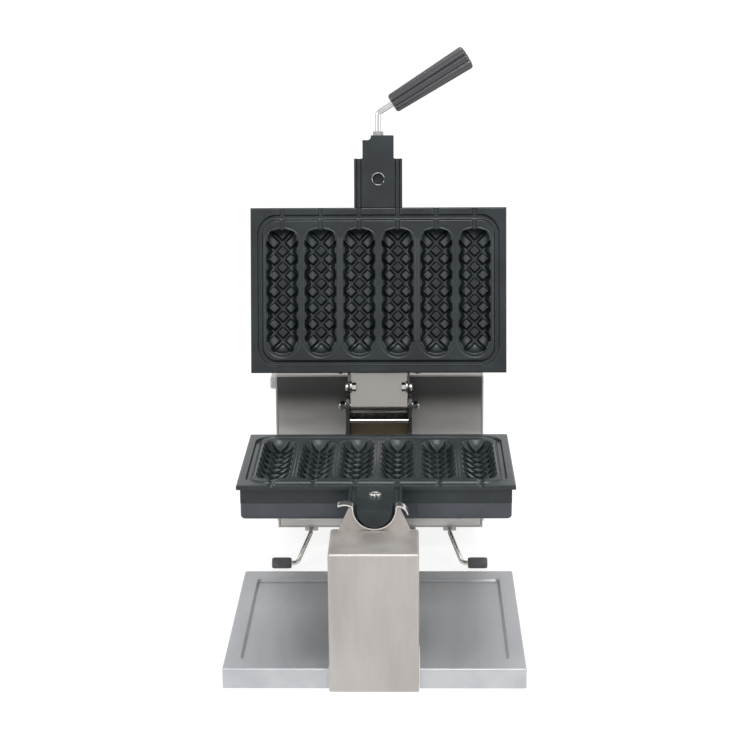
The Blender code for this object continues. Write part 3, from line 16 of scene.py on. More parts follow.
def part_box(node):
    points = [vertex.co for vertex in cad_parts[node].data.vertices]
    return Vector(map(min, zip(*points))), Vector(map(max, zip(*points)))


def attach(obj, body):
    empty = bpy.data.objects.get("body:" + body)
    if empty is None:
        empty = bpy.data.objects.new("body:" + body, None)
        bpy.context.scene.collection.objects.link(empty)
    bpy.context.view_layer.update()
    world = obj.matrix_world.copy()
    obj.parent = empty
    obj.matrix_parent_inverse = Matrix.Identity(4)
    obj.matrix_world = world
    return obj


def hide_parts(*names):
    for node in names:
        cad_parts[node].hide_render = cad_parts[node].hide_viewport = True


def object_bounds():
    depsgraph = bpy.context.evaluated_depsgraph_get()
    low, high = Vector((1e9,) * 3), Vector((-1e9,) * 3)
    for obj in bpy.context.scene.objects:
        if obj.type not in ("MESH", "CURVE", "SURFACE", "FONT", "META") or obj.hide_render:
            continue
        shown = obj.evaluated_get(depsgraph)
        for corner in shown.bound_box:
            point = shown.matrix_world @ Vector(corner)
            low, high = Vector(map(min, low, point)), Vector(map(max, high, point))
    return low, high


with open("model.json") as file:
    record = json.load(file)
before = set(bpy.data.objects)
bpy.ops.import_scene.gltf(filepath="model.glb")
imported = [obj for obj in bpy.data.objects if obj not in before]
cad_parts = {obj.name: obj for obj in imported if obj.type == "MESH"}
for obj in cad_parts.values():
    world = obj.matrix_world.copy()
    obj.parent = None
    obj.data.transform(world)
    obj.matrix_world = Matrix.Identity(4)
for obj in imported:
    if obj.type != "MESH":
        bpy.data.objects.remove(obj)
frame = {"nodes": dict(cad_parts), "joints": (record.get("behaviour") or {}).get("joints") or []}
cad_low, cad_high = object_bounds()

# Camera
# A long lens a little above the appliance, level with the open lid, as a shop photographs it. It was fitted to
# the corners of the plates, the tray and the box.
lens_mm = 89.29
sensor_mm = 36
camera_pitch = 14.75
camera_yaw = -1.15
camera_roll = 0.43
camera_place = (0.0387, -2.0236, 0.8019)


def in_scene(name, data):
    """A new object of the scene, at the origin and unturned."""
    made = bpy.data.objects.new(name, data)
    bpy.context.scene.collection.objects.link(made)
    return made


camera = in_scene("camera", bpy.data.cameras.new("camera"))
camera.data.lens = lens_mm
camera.data.sensor_width = sensor_mm
turn_about = Matrix.Rotation(math.radians(-camera_yaw), 4, "Z")
tilt_down = Matrix.Rotation(math.radians(90 - camera_pitch), 4, "X")
lean = Matrix.Rotation(math.radians(-camera_roll), 4, "Z")
camera.matrix_world = Matrix.Translation(camera_place) @ turn_about @ tilt_down @ lean
bpy.context.scene.camera = camera
bpy.context.scene.view_settings.view_transform = "Standard"

# Studio
# A white table under a white sky, which lights the object softly and evenly, and three soft lamps. The camera
# and the polished metal see both as plain white, and the table keeps the object's shadow.
table_half = 16.0
table_white = 236
table_grey = 137
table_glow = 0.82
sky_light = 0.42
lamp_settings = (
    ("lamp_above", (0.25, -1.25, 2.4), 42.0, 1.4),
    ("lamp_left", (-2.0, -1.0, 1.4), 20.0, 1.6),
    ("lamp_right", (2.0, -0.9, 1.3), 18.0, 1.6),
)


class Wire:
    """One socket of a material's nodes. Python's operators on it add Math nodes."""

    def __init__(self, tree, socket):
        self.tree = tree
        self.socket = socket

    def node(self, kind, settings, values, output=0):
        """Adds a node, with its settings first and then the numbers or wires of its sockets."""
        made = self.tree.nodes.new(kind)
        for setting, value in settings.items():
            setattr(made, setting, value)
        for name, value in values.items():
            if isinstance(value, Wire):
                self.tree.links.new(value.socket, made.inputs[name])
            else:
                made.inputs[name].default_value = value
        return Wire(self.tree, made.outputs[output])

    def maths(self, operation, *others):
        return self.node("ShaderNodeMath", {"operation": operation}, dict(enumerate((self, *others))))

    def __add__(self, other):
        return self.maths("ADD", other)

    def __mul__(self, other):
        return self.maths("MULTIPLY", other)

    __radd__ = __add__
    __rmul__ = __mul__

    def above(self, low, high):
        """0 below low, 1 above high, and a smooth step between them."""
        values = {"Value": self, "From Min": low, "From Max": high}
        return self.node("ShaderNodeMapRange", {"interpolation_type": "SMOOTHSTEP"}, values)

    def blend(self, first, second):
        """A colour between two others, by this wire as the factor."""
        values = {0: self, 6: first, 7: second}
        return self.node("ShaderNodeMix", {"data_type": "RGBA"}, values, 2)

    def stretched(self, scale):
        """These places scaled along each axis, so that a pattern on them is drawn out."""
        return self.node("ShaderNodeMapping", {}, {"Vector": self, "Scale": scale})

    def noise(self, scale, detail=4.0, roughness=0.5):
        values = {"Vector": self, "Scale": scale, "Detail": detail, "Roughness": roughness}
        return self.node("ShaderNodeTexNoise", {}, values)


def rgb(red, green, blue):
    """A colour as it looks on the screen, out of 255, made linear for the shader."""
    linear = []
    for share in (red / 255, green / 255, blue / 255):
        linear.append(share / 12.92 if share <= 0.04045 else ((share + 0.055) / 1.055) ** 2.4)
    return (*linear, 1)


def start_finish(name, colour, metallic, roughness, plain=()):
    """A material with its plain values set, and a wire of the piece's own places to build its pattern from."""
    made = bpy.data.materials.new(name)
    made.use_nodes = True
    surface = made.node_tree.nodes["Principled BSDF"]
    values = {"Base Color": colour, "Metallic": metallic, "Roughness": roughness, **dict(plain)}
    for socket, value in values.items():
        surface.inputs[socket].default_value = value
    coordinates = made.node_tree.nodes.new("ShaderNodeTexCoord")
    return made, Wire(made.node_tree, coordinates.outputs["Object"])


def feed(socket, wire):
    """Links a wire to a socket of its own material's surface."""
    wire.tree.links.new(wire.socket, wire.tree.nodes["Principled BSDF"].inputs[socket])


def bump(height, distance, strength):
    """Raises the surface by a height wire of 0 to 1, over a distance in metres."""
    values = {"Height": height, "Distance": distance, "Strength": strength}
    feed("Normal", height.node("ShaderNodeBump", {}, values))


def seen_rays(tree):
    """1 for what the camera sees, straight or in a reflection or through glass, and 0 for plain light."""
    rays = tree.nodes.new("ShaderNodeLightPath")
    straight, glossy, through = [
        Wire(tree, rays.outputs[name]) for name in ("Is Camera Ray", "Is Glossy Ray", "Is Transmission Ray")
    ]
    return straight.maths("MAXIMUM", glossy).maths("MAXIMUM", through)


def mesh_of(bm, name):
    """A bmesh as a mesh, with the bmesh freed."""
    mesh = bpy.data.meshes.new(name)
    bm.to_mesh(mesh)
    bm.free()
    return mesh


bm = bmesh.new()
bmesh.ops.create_grid(bm, x_segments=2, y_segments=2, size=table_half)
table = mesh_of(bm, "table")
white, grey = [rgb(level, level, level) for level in (table_white, table_grey)]
table_finish, places = start_finish("table_white", white, 0.0, 0.6, {"Emission Strength": 1})
seen = seen_rays(places.tree)
feed("Base Color", seen.blend(white, grey))
feed("Emission Color", (seen * table_glow).blend((0, 0, 0, 1), (1, 1, 1, 1)))
table.materials.append(table_finish)
in_scene("table", table)

for name, place, power, size in lamp_settings:
    light = bpy.data.lights.new(name, "AREA")
    light.energy = power
    light.size = size
    lamp = in_scene(name, light)
    lamp.location = place
    aim = (cad_low + cad_high) / 2 - Vector(place)
    lamp.rotation_euler = aim.to_track_quat("-Z", "Y").to_euler()

world = bpy.data.worlds.new("white_sky")
world.use_nodes = True
background = world.node_tree.nodes["Background"]
background.inputs["Color"].default_value = (1, 1, 1, 1)
strength = seen_rays(world.node_tree) * (1 - sky_light) + sky_light
world.node_tree.links.new(strength.socket, background.inputs["Strength"])
bpy.context.scene.world = world

# Baking plates
# Two cast plates with six waffle cavities each, machined on the face and coated dark. A lattice of channels
# crosses the raised pads in each cavity, an overflow groove runs round the face, and a half-round slot for each
# stick runs out over the front edge.
face_step = 0.0008125
rim_depth = 0.005
body_inset = 0.004
rim_round = 0.0006
cavity_count = 6
cavity_pitch = 0.04598
cavity_half_width = 0.01865
cavity_ends = (-0.0740, 0.0765)
cavity_end_reaches = (0.0120, 0.0195)
channel_trough_depth = 0.0150
channel_fullness = 2.4
pad_fullness = 0.76
pad_trough_inset = 0.0012
pad_trough_depth = 0.0108
pad_pitch = 0.0195
last_channel = 3
channel_half_width = 0.0016
channel_slope = 0.0011
outline_offset = 0.0027
outline_width = 0.0012
outline_depth = 0.0007
groove_middle = 0.0111
groove_floor_half = 0.0020
groove_outer_slope = 0.0010
groove_inner_slope = 0.0024
groove_depth = 0.0026
groove_corner = 0.0210
stick_radius = 0.0031
slot_depth = 0.0023
slot_floor_half = 0.0014
slot_brim = 0.0034
stick_end = -0.0690
# The plates share one coating: the lower plate's colours are painted lighter, a painted light for its face lying up
# under the lamps, and the upper plate's darker, a painted shade for its upright face. Their journal blocks take the
# same.
lower_coating = (rgb(26, 33, 36), rgb(47, 56, 59))
upper_coating = (rgb(18, 24, 27), rgb(35, 43, 46))
coating_shine = 0.42
face_sharp = 62

joints = {joint["name"]: joint for joint in frame["joints"]}
hinge_place = Vector(joints["lid_hinge"]["pos_m"])
opening_angle = joints["lid_hinge"]["range_deg"][1]
rotor_height = joints["rotor_turn"]["pos_m"][2]
lower_plate_low, lower_plate_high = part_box("lower_plate")
plate_half_x, plate_half_y = lower_plate_high.x, lower_plate_high.y
parting = lower_plate_high.z
mirrored_up = Matrix.Translation((0, 0, 2 * rotor_height)) @ Matrix.Diagonal((1, 1, -1, 1))
opened = (
    Matrix.Translation(hinge_place)
    @ Matrix.Rotation(math.radians(-opening_angle), 4, "X")
    @ Matrix.Translation(-hinge_place)
)


def smooth_step(values, low, high):
    share = np.clip((values - low) / (high - low), 0, 1)
    return share * share * (3 - 2 * share)


def across_cavity(x):
    """How far a place lies from the middle line of the nearest cavity."""
    nearest = np.clip(np.round(x / cavity_pitch + (cavity_count - 1) / 2), 0, cavity_count - 1)
    return x - (nearest - (cavity_count - 1) / 2) * cavity_pitch


def cavity_relief(x, y):
    """How deep the cavities go: a trough of pads, crossed by a lattice of deeper channels."""
    across, along = across_cavity(x), y - (cavity_ends[0] + cavity_ends[1]) / 2
    near, far = cavity_ends[0] + cavity_end_reaches[0] - y, y - cavity_ends[1] + cavity_end_reaches[1]
    beyond = np.maximum(near / cavity_end_reaches[0], far / cavity_end_reaches[1])
    reach = np.hypot(across, np.maximum(beyond, 0) * cavity_half_width)
    pad_half = cavity_half_width - pad_trough_inset
    inside = np.clip(1 - (reach / cavity_half_width) ** channel_fullness, 0, 1)
    channels = channel_trough_depth * inside ** (1 / channel_fullness)
    pads = pad_trough_depth * np.clip(1 - (reach / pad_half) ** 2, 0, 1) ** pad_fullness
    nearest = pad_pitch
    for diagonal in (across + along, across - along):
        lines = diagonal / pad_pitch
        channel = np.clip(np.round(lines), -last_channel, last_channel)
        nearest = np.minimum(nearest, np.abs(lines - channel) * pad_pitch / math.sqrt(2))
    on_pad = smooth_step(nearest, channel_half_width, channel_half_width + channel_slope)
    outline = 1 - smooth_step(np.abs(reach - cavity_half_width - outline_offset), 0, outline_width)
    return channels + (pads - channels) * on_pad + outline_depth * outline


def groove_relief(x, y):
    """How deep the overflow groove goes: a rounded rectangle inside the edge, with a steep outer wall."""
    beyond_x = np.abs(x) - (plate_half_x - groove_middle - groove_corner)
    beyond_y = np.abs(y) - (plate_half_y - groove_middle - groove_corner)
    outside = np.hypot(np.maximum(beyond_x, 0), np.maximum(beyond_y, 0))
    outward = outside + np.minimum(np.maximum(beyond_x, beyond_y), 0) - groove_corner
    outer = 1 - smooth_step(outward, groove_floor_half, groove_floor_half + groove_outer_slope)
    inner = smooth_step(outward, -groove_floor_half - groove_inner_slope, -groove_floor_half)
    return groove_depth * outer * inner


def slot_relief(x, y):
    """How deep the stick slots go, from the plate's front edge into each cavity."""
    depth = slot_depth * (1 - smooth_step(np.abs(across_cavity(x)), slot_floor_half, slot_brim))
    return np.where(y < stick_end, depth, 0)


def plate_mesh(name):
    """The lower plate: a fine grid for the face, with its edge extruded down round the rim and the body."""
    bm = bmesh.new()
    halves = (plate_half_x, plate_half_y)
    columns, rows = [round(2 * half / face_step) for half in halves]
    bmesh.ops.create_grid(bm, x_segments=columns, y_segments=rows, size=1)
    bmesh.ops.scale(bm, vec=(*halves, 1), verts=bm.verts)
    bmesh.ops.translate(bm, vec=(0, 0, parting), verts=bm.verts)
    inward = [(half - body_inset) / half for half in halves]
    body_depth = parting - rim_depth - lower_plate_low.z
    edge = [line for line in bm.edges if line.is_boundary]
    for scale, drop in (((1, 1, 1), rim_depth), ((*inward, 1), 0), ((1, 1, 1), body_depth)):
        grown = bmesh.ops.extrude_edge_only(bm, edges=edge)["geom"]
        corners = [item for item in grown if isinstance(item, bmesh.types.BMVert)]
        edge = [item for item in grown if isinstance(item, bmesh.types.BMEdge) and item.is_boundary]
        bmesh.ops.scale(bm, vec=scale, verts=corners)
        bmesh.ops.translate(bm, vec=(0, 0, -drop), verts=corners)
    bmesh.ops.contextual_create(bm, geom=edge)
    bmesh.ops.recalc_face_normals(bm, faces=bm.faces)
    mesh = mesh_of(bm, name)
    places = np.empty(len(mesh.vertices) * 3)
    mesh.vertices.foreach_get("co", places)
    places = places.reshape(-1, 3)
    x, y = places[:, 0], places[:, 1]
    depth = np.maximum.reduce([cavity_relief(x, y), groove_relief(x, y), slot_relief(x, y)])
    inward = np.minimum(plate_half_x - np.abs(x), plate_half_y - np.abs(y))
    depth = np.maximum(depth, rim_round * (1 - smooth_step(inward, 0, 2 * rim_round)))
    places[:, 2] -= np.where(places[:, 2] > parting - rim_depth / 2, depth, 0)
    mesh.vertices.foreach_set("co", places.reshape(-1))
    return mesh


def show(name, mesh, finish, body, nodes, sharp=40):
    """Puts a finished mesh in the scene, on the body that carries it and in place of the nodes named."""
    mesh.name = name
    mesh.shade_smooth()
    mesh.set_sharp_from_angle(angle=math.radians(sharp))
    mesh.materials.clear()
    mesh.materials.append(finish)
    made = in_scene(name, mesh)
    made.modifiers.new("flat_faces_stay_flat", "WEIGHTED_NORMAL").keep_sharp = True
    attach(made, body)
    for node in nodes:
        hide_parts(node)


def cast_coating(name, dark, light):
    """Dark release coating on cast metal: a fine even grain, a cloudy sheen and slightly paler worn patches."""
    made, places = start_finish(name, dark, 0.0, 0.35, {"Specular IOR Level": coating_shine})
    cloud, grain = places.noise(26.0, 5.0, 0.6), places.noise(1400.0, 2.0)
    worn = places.noise(90.0, 6.0, 0.7).above(0.56, 0.76) * 0.3
    tone = (cloud.above(0.35, 0.7) * 0.5 + grain * 0.2 + worn).maths("MINIMUM", 1.0)
    feed("Base Color", tone.blend(dark, light))
    feed("Roughness", cloud * 0.2 + 0.22)
    bump(grain * 0.6 + cloud * 0.4, 0.00012, 0.5)
    return made


# The lower finish carries painted light and the upper one painted shade, on the plates and their journal blocks.
lower_finish = cast_coating("lower_coating", *lower_coating)
upper_finish = cast_coating("upper_coating", *upper_coating)
lower_face = plate_mesh("lower_face")
upper_face = lower_face.copy()
upper_face.transform(opened @ mirrored_up)
upper_face.flip_normals()
show("lower_face", lower_face, lower_finish, "rotor", ["lower_plate"], face_sharp)
show("upper_face", upper_face, upper_finish, "lid", ["upper_plate"], face_sharp)

# Journal blocks
# A half cylinder of cast metal bolted under the front rim of each plate. Closed, the two halves make the round
# journal that turns in the cradle. The middle stick slots run on over the blocks' wide shoulders.
weld_distance = 0.000001
overrun = 0.002
seat_gap = 0.0003
turned_sides = 96
journal_radius = 0.0186
journal_length = 0.0275
shoulder_radius = 0.0287
block_round = 0.0012
block_edge = 0.0005
peg_radius = 0.0064
peg_setback = 0.0341
peg_seat_depth = 0.0060
peg_hole_depth = 0.0090
peg_hole_gap = 0.0004
end_step_width = 0.0100
end_step_depth = 0.0056
end_step_fillet = 0.0040
handle_rise = 0.0095
handle_rod_radius = 0.0036
handle_rod_seat = 0.0120
block_sharp = 35
flat_angle = 0.001
journal_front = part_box("lower_trunnion")[0].y
block_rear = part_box("lower_trunnion")[1].y
peg_place = -plate_half_y - peg_setback
backwards = Vector((0, 1, 0))
upwards = Vector((0, 0, 1))


def arc(centre, radius, start, end, steps):
    """Points on an arc in a plane, from one angle to another in degrees."""
    turns = [math.radians(start + (end - start) * step / steps) for step in range(steps + 1)]
    return [(centre[0] + radius * math.cos(turn), centre[1] + radius * math.sin(turn)) for turn in turns]


def eased(points, radius, steps=3, closed=False):
    """Rounds the corners of a path of points with short curves, which start and end a radius from the corner."""
    points = [Vector(point) for point in points]
    corners = list(zip([points[-1]] + points, points, points[1:] + points[:1]))
    rounded = []
    for index, (before, corner, after) in enumerate(corners):
        if not closed and index in (0, len(points) - 1):
            rounded.append(corner)
            continue
        reach = min(radius, (before - corner).length / 2, (after - corner).length / 2)
        start = corner + (before - corner).normalized() * reach
        end = corner + (after - corner).normalized() * reach
        for step in range(steps + 1):
            share = step / steps
            rounded.append(start.lerp(corner, share).lerp(corner.lerp(end, share), share))
    return [tuple(point) for point in rounded]


def turned(profile, base=(0, 0, 0), direction=upwards, sides=turned_sides, close=False):
    """Spins a path of (radius, distance) points about an axis through base, as a new bmesh."""
    bm = bmesh.new()
    line = [bm.verts.new((radius, 0, distance)) for radius, distance in profile]
    edges = [bm.edges.new(ends) for ends in zip(line, line[1:])]
    if close:
        edges.append(bm.edges.new((line[-1], line[0])))
    whole = {"cent": (0, 0, 0), "axis": (0, 0, 1), "angle": math.tau, "steps": sides, "use_merge": True}
    bmesh.ops.spin(bm, geom=line + edges, **whole)
    bmesh.ops.remove_doubles(bm, verts=bm.verts, dist=weld_distance)
    turn = Vector(direction).to_track_quat("Z", "Y").to_matrix().to_4x4()
    bmesh.ops.transform(bm, matrix=Matrix.Translation(Vector(base)) @ turn, verts=bm.verts)
    return bm


def straight_rod(start, end, radius, sides=48, chamfer=0.0):
    start, end = Vector(start), Vector(end)
    length, inner = (end - start).length, radius - chamfer
    side = [(radius, 0), (radius, length)]
    if chamfer:
        side = [(inner, 0), (radius, chamfer), (radius, length - chamfer), (inner, length)]
    return turned([(0, 0), *side, (0, length)], start, end - start, sides)


def in_plane(point, plane, height):
    """Puts a 2D point of the named plane at a height along the plane's normal."""
    first, second = point
    places = {"XY": (first, second, height), "XZ": (first, height, second), "YZ": (height, first, second)}
    return Vector(places[plane])


def prism(outline, plane, low, high):
    """Extrudes a closed outline of 2D points between two heights along its plane's normal."""
    bm = bmesh.new()
    corners = [bm.verts.new(in_plane(point, plane, low)) for point in outline]
    face = bm.faces.new(corners)
    grown = bmesh.ops.extrude_face_region(bm, geom=[face])["geom"]
    moved = [item for item in grown if isinstance(item, bmesh.types.BMVert)]
    bmesh.ops.translate(bm, vec=in_plane((0, 0), plane, high - low), verts=moved)
    return bm


def rounded(bm, edges, width, segments=2):
    """Rounds edges of a bmesh."""
    shape = {"affect": "EDGES", "profile": 0.5, "material": -1, "clamp_overlap": True}
    bmesh.ops.bevel(bm, geom=edges, offset=width, segments=segments, **shape)
    return bm


def block(low, high, radius=0.0, segments=2):
    """A box between two corners, with all its edges rounded where a radius is given."""
    bm = bmesh.new()
    bmesh.ops.create_cube(bm, size=1)
    low, high = Vector(low), Vector(high)
    shape = Matrix.Translation((low + high) / 2) @ Matrix.Diagonal((*(high - low), 1))
    bmesh.ops.transform(bm, matrix=shape, verts=bm.verts)
    return rounded(bm, bm.edges[:], radius, segments) if radius else bm


def loose_solid(bm):
    """A short-lived object of a bmesh, for the Boolean modifiers of shaped()."""
    bmesh.ops.recalc_face_normals(bm, faces=bm.faces)
    return in_scene("loose", mesh_of(bm, "loose"))


def shaped(bm, joined=(), cut=(), kept=()):
    """Joins solids to a solid, cuts others away and keeps what lies inside the last, as a new bmesh."""
    base = loose_solid(bm)
    tools = []
    for operation, others in (("UNION", joined), ("DIFFERENCE", cut), ("INTERSECT", kept)):
        for other in others:
            tools.append(loose_solid(other))
            modifier = base.modifiers.new("shape", "BOOLEAN")
            modifier.operation = operation
            modifier.object = tools[-1]
    graph = bpy.context.evaluated_depsgraph_get()
    result = bmesh.new()
    result.from_mesh(base.evaluated_get(graph).to_mesh())
    for made in [base] + tools:
        mesh = made.data
        bpy.data.objects.remove(made)
        bpy.data.meshes.remove(mesh)
    bmesh.ops.remove_doubles(result, verts=result.verts, dist=weld_distance)
    bmesh.ops.dissolve_limit(result, angle_limit=flat_angle, verts=result.verts, edges=result.edges)
    return result


def edged(bm, width, least=30):
    """Rounds every edge that turns by more than the least angle, in degrees."""
    least = math.radians(least)
    return rounded(bm, [line for line in bm.edges if line.is_manifold and line.calc_face_angle(0) > least], width)


def place_piece(name, bm, finish, body, nodes, sharp=40):
    """Makes a bmesh a finished piece. One of the lid's is modelled closed, and is turned open here."""
    bmesh.ops.remove_doubles(bm, verts=bm.verts, dist=weld_distance)
    bmesh.ops.recalc_face_normals(bm, faces=bm.faces)
    mesh = mesh_of(bm, name)
    if body == "lid":
        mesh.transform(opened)
    show(name, mesh, finish, body, nodes, sharp)


def turn_over(bm):
    """Moves a shape of the lower half to the upper half, about the level of the rotor's axis."""
    bmesh.ops.transform(bm, matrix=mirrored_up, verts=bm.verts)


def journal_block(name, upper):
    shoulder_front = journal_front + journal_length
    profile = [(0, journal_front), (journal_radius, journal_front), (journal_radius, shoulder_front)]
    profile += [(shoulder_radius, shoulder_front), (shoulder_radius, block_rear), (0, block_rear)]
    bm = turned(eased(profile, block_round), (0, 0, parting), backwards)
    whole = bm.verts[:] + bm.edges[:] + bm.faces[:]
    cut = {"dist": weld_distance, "plane_co": (0, 0, parting), "plane_no": upwards, "clear_outer": True}
    bmesh.ops.bisect_plane(bm, geom=whole, **cut)
    bmesh.ops.holes_fill(bm, edges=[line for line in bm.edges if line.is_boundary])
    cuts = []
    for index in range(cavity_count):
        x = (index - (cavity_count - 1) / 2) * cavity_pitch
        if abs(x) < shoulder_radius:
            start, end = (x, shoulder_front - overrun, parting), (x, block_rear + overrun, parting)
            cuts.append(straight_rod(start, end, stick_radius))
    side, rim_low, above = shoulder_radius + overrun, parting - rim_depth - seat_gap, parting + overrun
    cuts.append(block((-side, -plate_half_y - seat_gap, rim_low), (side, block_rear + overrun, above)))
    radius, depth = peg_radius + seat_gap, peg_seat_depth
    if upper:
        radius, depth = peg_radius + peg_hole_gap, peg_hole_depth
    cuts.append(straight_rod((0, peg_place, parting - depth), (0, peg_place, above), radius, turned_sides))
    if upper:
        reach, edge = journal_radius + overrun, journal_front + end_step_depth
        inner = end_step_width - journal_radius
        outline = [(-reach, edge), (-reach, journal_front - overrun), (inner, journal_front - overrun)]
        outline += arc((inner - end_step_fillet, edge - end_step_fillet), end_step_fillet, 0, 90, 8)
        cuts.append(prism(outline, "XY", parting - reach, above))
        level = rotor_height - handle_rise
        start, end = (0, journal_front - overrun, level), (0, journal_front + handle_rod_seat, level)
        cuts.append(straight_rod(start, end, handle_rod_radius + seat_gap))
    bm = edged(shaped(bm, cut=cuts), block_edge)
    finish, body, node = lower_finish, "rotor", "lower_trunnion"
    if upper:
        turn_over(bm)
        finish, body, node = upper_finish, "lid", "upper_trunnion"
    place_piece(name, bm, finish, body, [node], block_sharp)


journal_block("lower_journal_block", False)
journal_block("upper_journal_block", True)

# Locating peg
# A short plated peg pressed into the lower block, with a hollow top. It drops into a bushed hole in the upper
# block, and the coating over it has worn off where it rubs.
bush_width = 0.0008
bush_depth = 0.0040
bush_stand = 0.00004
peg_height = 0.0032
peg_round = 0.0011
peg_hollow_radius = 0.0030
peg_hollow_depth = 0.0030
worn_metal = rgb(196, 196, 194)
worn_coating = rgb(44, 47, 50)

plating, places = start_finish("worn_plating", worn_metal, 1.0, 0.3)
patch = places.noise(330.0, 4.0, 0.6).above(0.42, 0.5)
feed("Base Color", patch.blend(worn_coating, worn_metal))
feed("Metallic", patch * 0.9)
feed("Roughness", patch * -0.2 + 0.5)
bump(patch, 0.0002, 0.8)


def plain_ring(inner, outer, low, high, edge, base, direction):
    """A plain ring about an axis, between two distances from its base, with rounded edges."""
    profile = [(inner, low), (outer, low), (outer, high), (inner, high)]
    return turned(eased(profile, edge, closed=True), base, direction, close=True)


low, high = seat_gap - peg_seat_depth, peg_height
rim = [(0, low), (peg_radius, low), (peg_radius, high - peg_round), (peg_radius - peg_round, high)]
rim += [(peg_hollow_radius + peg_round / 2, high), (peg_hollow_radius, high - peg_round / 2)]
rim += [(peg_hollow_radius, high - peg_hollow_depth), (0, high - peg_hollow_depth - peg_round)]
bm = turned(eased(rim, peg_round / 2), (0, peg_place, parting))
place_piece("plated_peg", bm, plating, "rotor", ["locating_peg"])
inner, base = peg_radius + peg_hole_gap, (0, peg_place, 2 * rotor_height - parting)
bm = plain_ring(inner, inner + bush_width, -bush_stand, bush_depth, bush_width / 4, base, upwards)
place_piece("hole_bush", bm, plating, "lid", [])
# Heater covers
# Pressed sheet pans over the heating elements, enamelled dark grey. Four cross-head screws hold each one.
cover_height = 0.0192
cover_wall = 0.0018
cover_corner = 0.0052
cover_side_corner = 0.0024
cover_screw_inset = 0.0200
cover_screw_radius = 0.0045
cover_screw_height = 0.0027
cross_arm_share = 0.55
cross_width_share = 0.12
cross_floor_share = 0.45
enamel_grey = rgb(48, 52, 60)
enamel_pale = rgb(58, 63, 71)
zinc_grey = rgb(178, 178, 176)
zinc_dull = rgb(140, 140, 140)

# Baked enamel, smooth but for a faint orange peel.
enamel_finish, places = start_finish("cover_enamel", enamel_grey, 0.0, 0.34, {"Coat Weight": 0.2})
cloud = places.noise(30.0, 4.0)
feed("Base Color", cloud.above(0.3, 0.7).blend(enamel_grey, enamel_pale))
feed("Roughness", cloud * 0.2 + 0.24)
bump(places.noise(420.0, 2.0), 0.00006, 0.5)

# Bright zinc on steel hardware, mottled where it has dulled.
zinc_finish, places = start_finish("zinc_plating", zinc_grey, 1.0, 0.25)
dull = places.noise(300.0, 5.0, 0.6).above(0.4, 0.66)
feed("Base Color", dull.blend(zinc_grey, zinc_dull))
feed("Roughness", dull * 0.2 + 0.18)
bump(places.noise(900.0, 3.0), 0.00005, 0.4)


def rounded_rectangle(half_x, half_y, radius, steps=6, middle=(0, 0)):
    """Outline points of a rectangle with rounded corners, anticlockwise from its lower right corner."""
    points = []
    for side_x, side_y, start in ((1, -1, -90), (1, 1, 0), (-1, 1, 90), (-1, -1, 180)):
        centre = (side_x * (half_x - radius), side_y * (half_y - radius))
        points += arc(centre, radius, start, start + 90, steps)
    return [(x + middle[0], y + middle[1]) for x, y in points]


def level_ring(half_x, half_y, radius, level, steps=6, middle=(0, 0)):
    """A rounded rectangle at a level, as a ring for lofted()."""
    return [Vector((x, y, level)) for x, y in rounded_rectangle(half_x, half_y, radius, steps, middle)]


def lofted(rings, close=False):
    """Bridges rings of points into a skin, and caps its two ends or joins them."""
    bm = bmesh.new()
    loops = []
    for ring in rings:
        corners = [bm.verts.new(point) for point in ring]
        loops.append([bm.edges.new(ends) for ends in zip(corners, corners[1:] + corners[:1])])
    pairs = list(zip(loops, loops[1:]))
    if close:
        pairs.append((loops[-1], loops[0]))
    for lower, upper in pairs:
        bmesh.ops.bridge_loops(bm, edges=lower + upper)
    if not close:
        for loop in (loops[0], loops[-1]):
            bmesh.ops.contextual_create(bm, geom=loop)
    return bm


def domed(radius, low, high, steps=8):
    """Points of a profile from a radius at one level up over a dome to the axis."""
    return [(radius * x, low + (high - low) * z) for x, z in arc((0, 0), 1, 0, 90, steps)]


def cross_head(radius, height):
    """A pan head with a cross recess, upright at the origin."""
    bm = turned([(0, 0), (radius, 0)] + domed(radius, height / 3, height), sides=32)
    arm, width, floor = radius * cross_arm_share, radius * cross_width_share, height * cross_floor_share
    cuts = [block((-x, -y, floor), (x, y, height + overrun)) for x, y in ((arm, width), (width, arm))]
    return shaped(bm, cut=cuts)


def set_out(bm, places, direction):
    """Copies a shape made upright at the origin to each place, pointing the given way."""
    pattern = mesh_of(bm, "pattern")
    turn = Vector(direction).to_track_quat("Z", "Y").to_matrix().to_4x4()
    made = bmesh.new()
    for place in places:
        before = set(made.verts)
        made.from_mesh(pattern)
        fresh = [corner for corner in made.verts if corner not in before]
        bmesh.ops.transform(made, matrix=Matrix.Translation(place) @ turn, verts=fresh)
    bpy.data.meshes.remove(pattern)
    return made


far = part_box("lower_cover")[1]
floor = far.z - cover_height
inside = cover_wall + cover_corner / 2
bend = arc((0, 0), cover_corner, -90, 0, 6)
wall = [(cover_corner - across, floor + cover_corner + up) for across, up in bend]
wall += [(0, far.z), (cover_wall, far.z), (cover_wall, floor + inside), (inside, floor + cover_wall)]
x, y = far.x - cover_screw_inset, far.y - cover_screw_inset
corners = [(across, along, floor) for across in (-x, x) for along in (-y, y)]
for half, body in (("lower", "rotor"), ("upper", "lid")):
    rings = [level_ring(far.x - inset, far.y - inset, cover_side_corner, level) for inset, level in wall]
    pan = lofted(rings)
    screws = set_out(cross_head(cover_screw_radius, cover_screw_height), corners, -upwards)
    if half == "upper":
        turn_over(pan)
        turn_over(screws)
    place_piece(half + "_pan", pan, enamel_finish, body, [half + "_cover"])
    place_piece(half + "_pan_screws", screws, zinc_finish, body, [])

# Heating elements
# Steel tubes bent in long runs under the plates, heat-tinted brown and blue. The pans hide them.
tint_brown = rgb(92, 78, 66)
tint_blue = rgb(70, 76, 90)

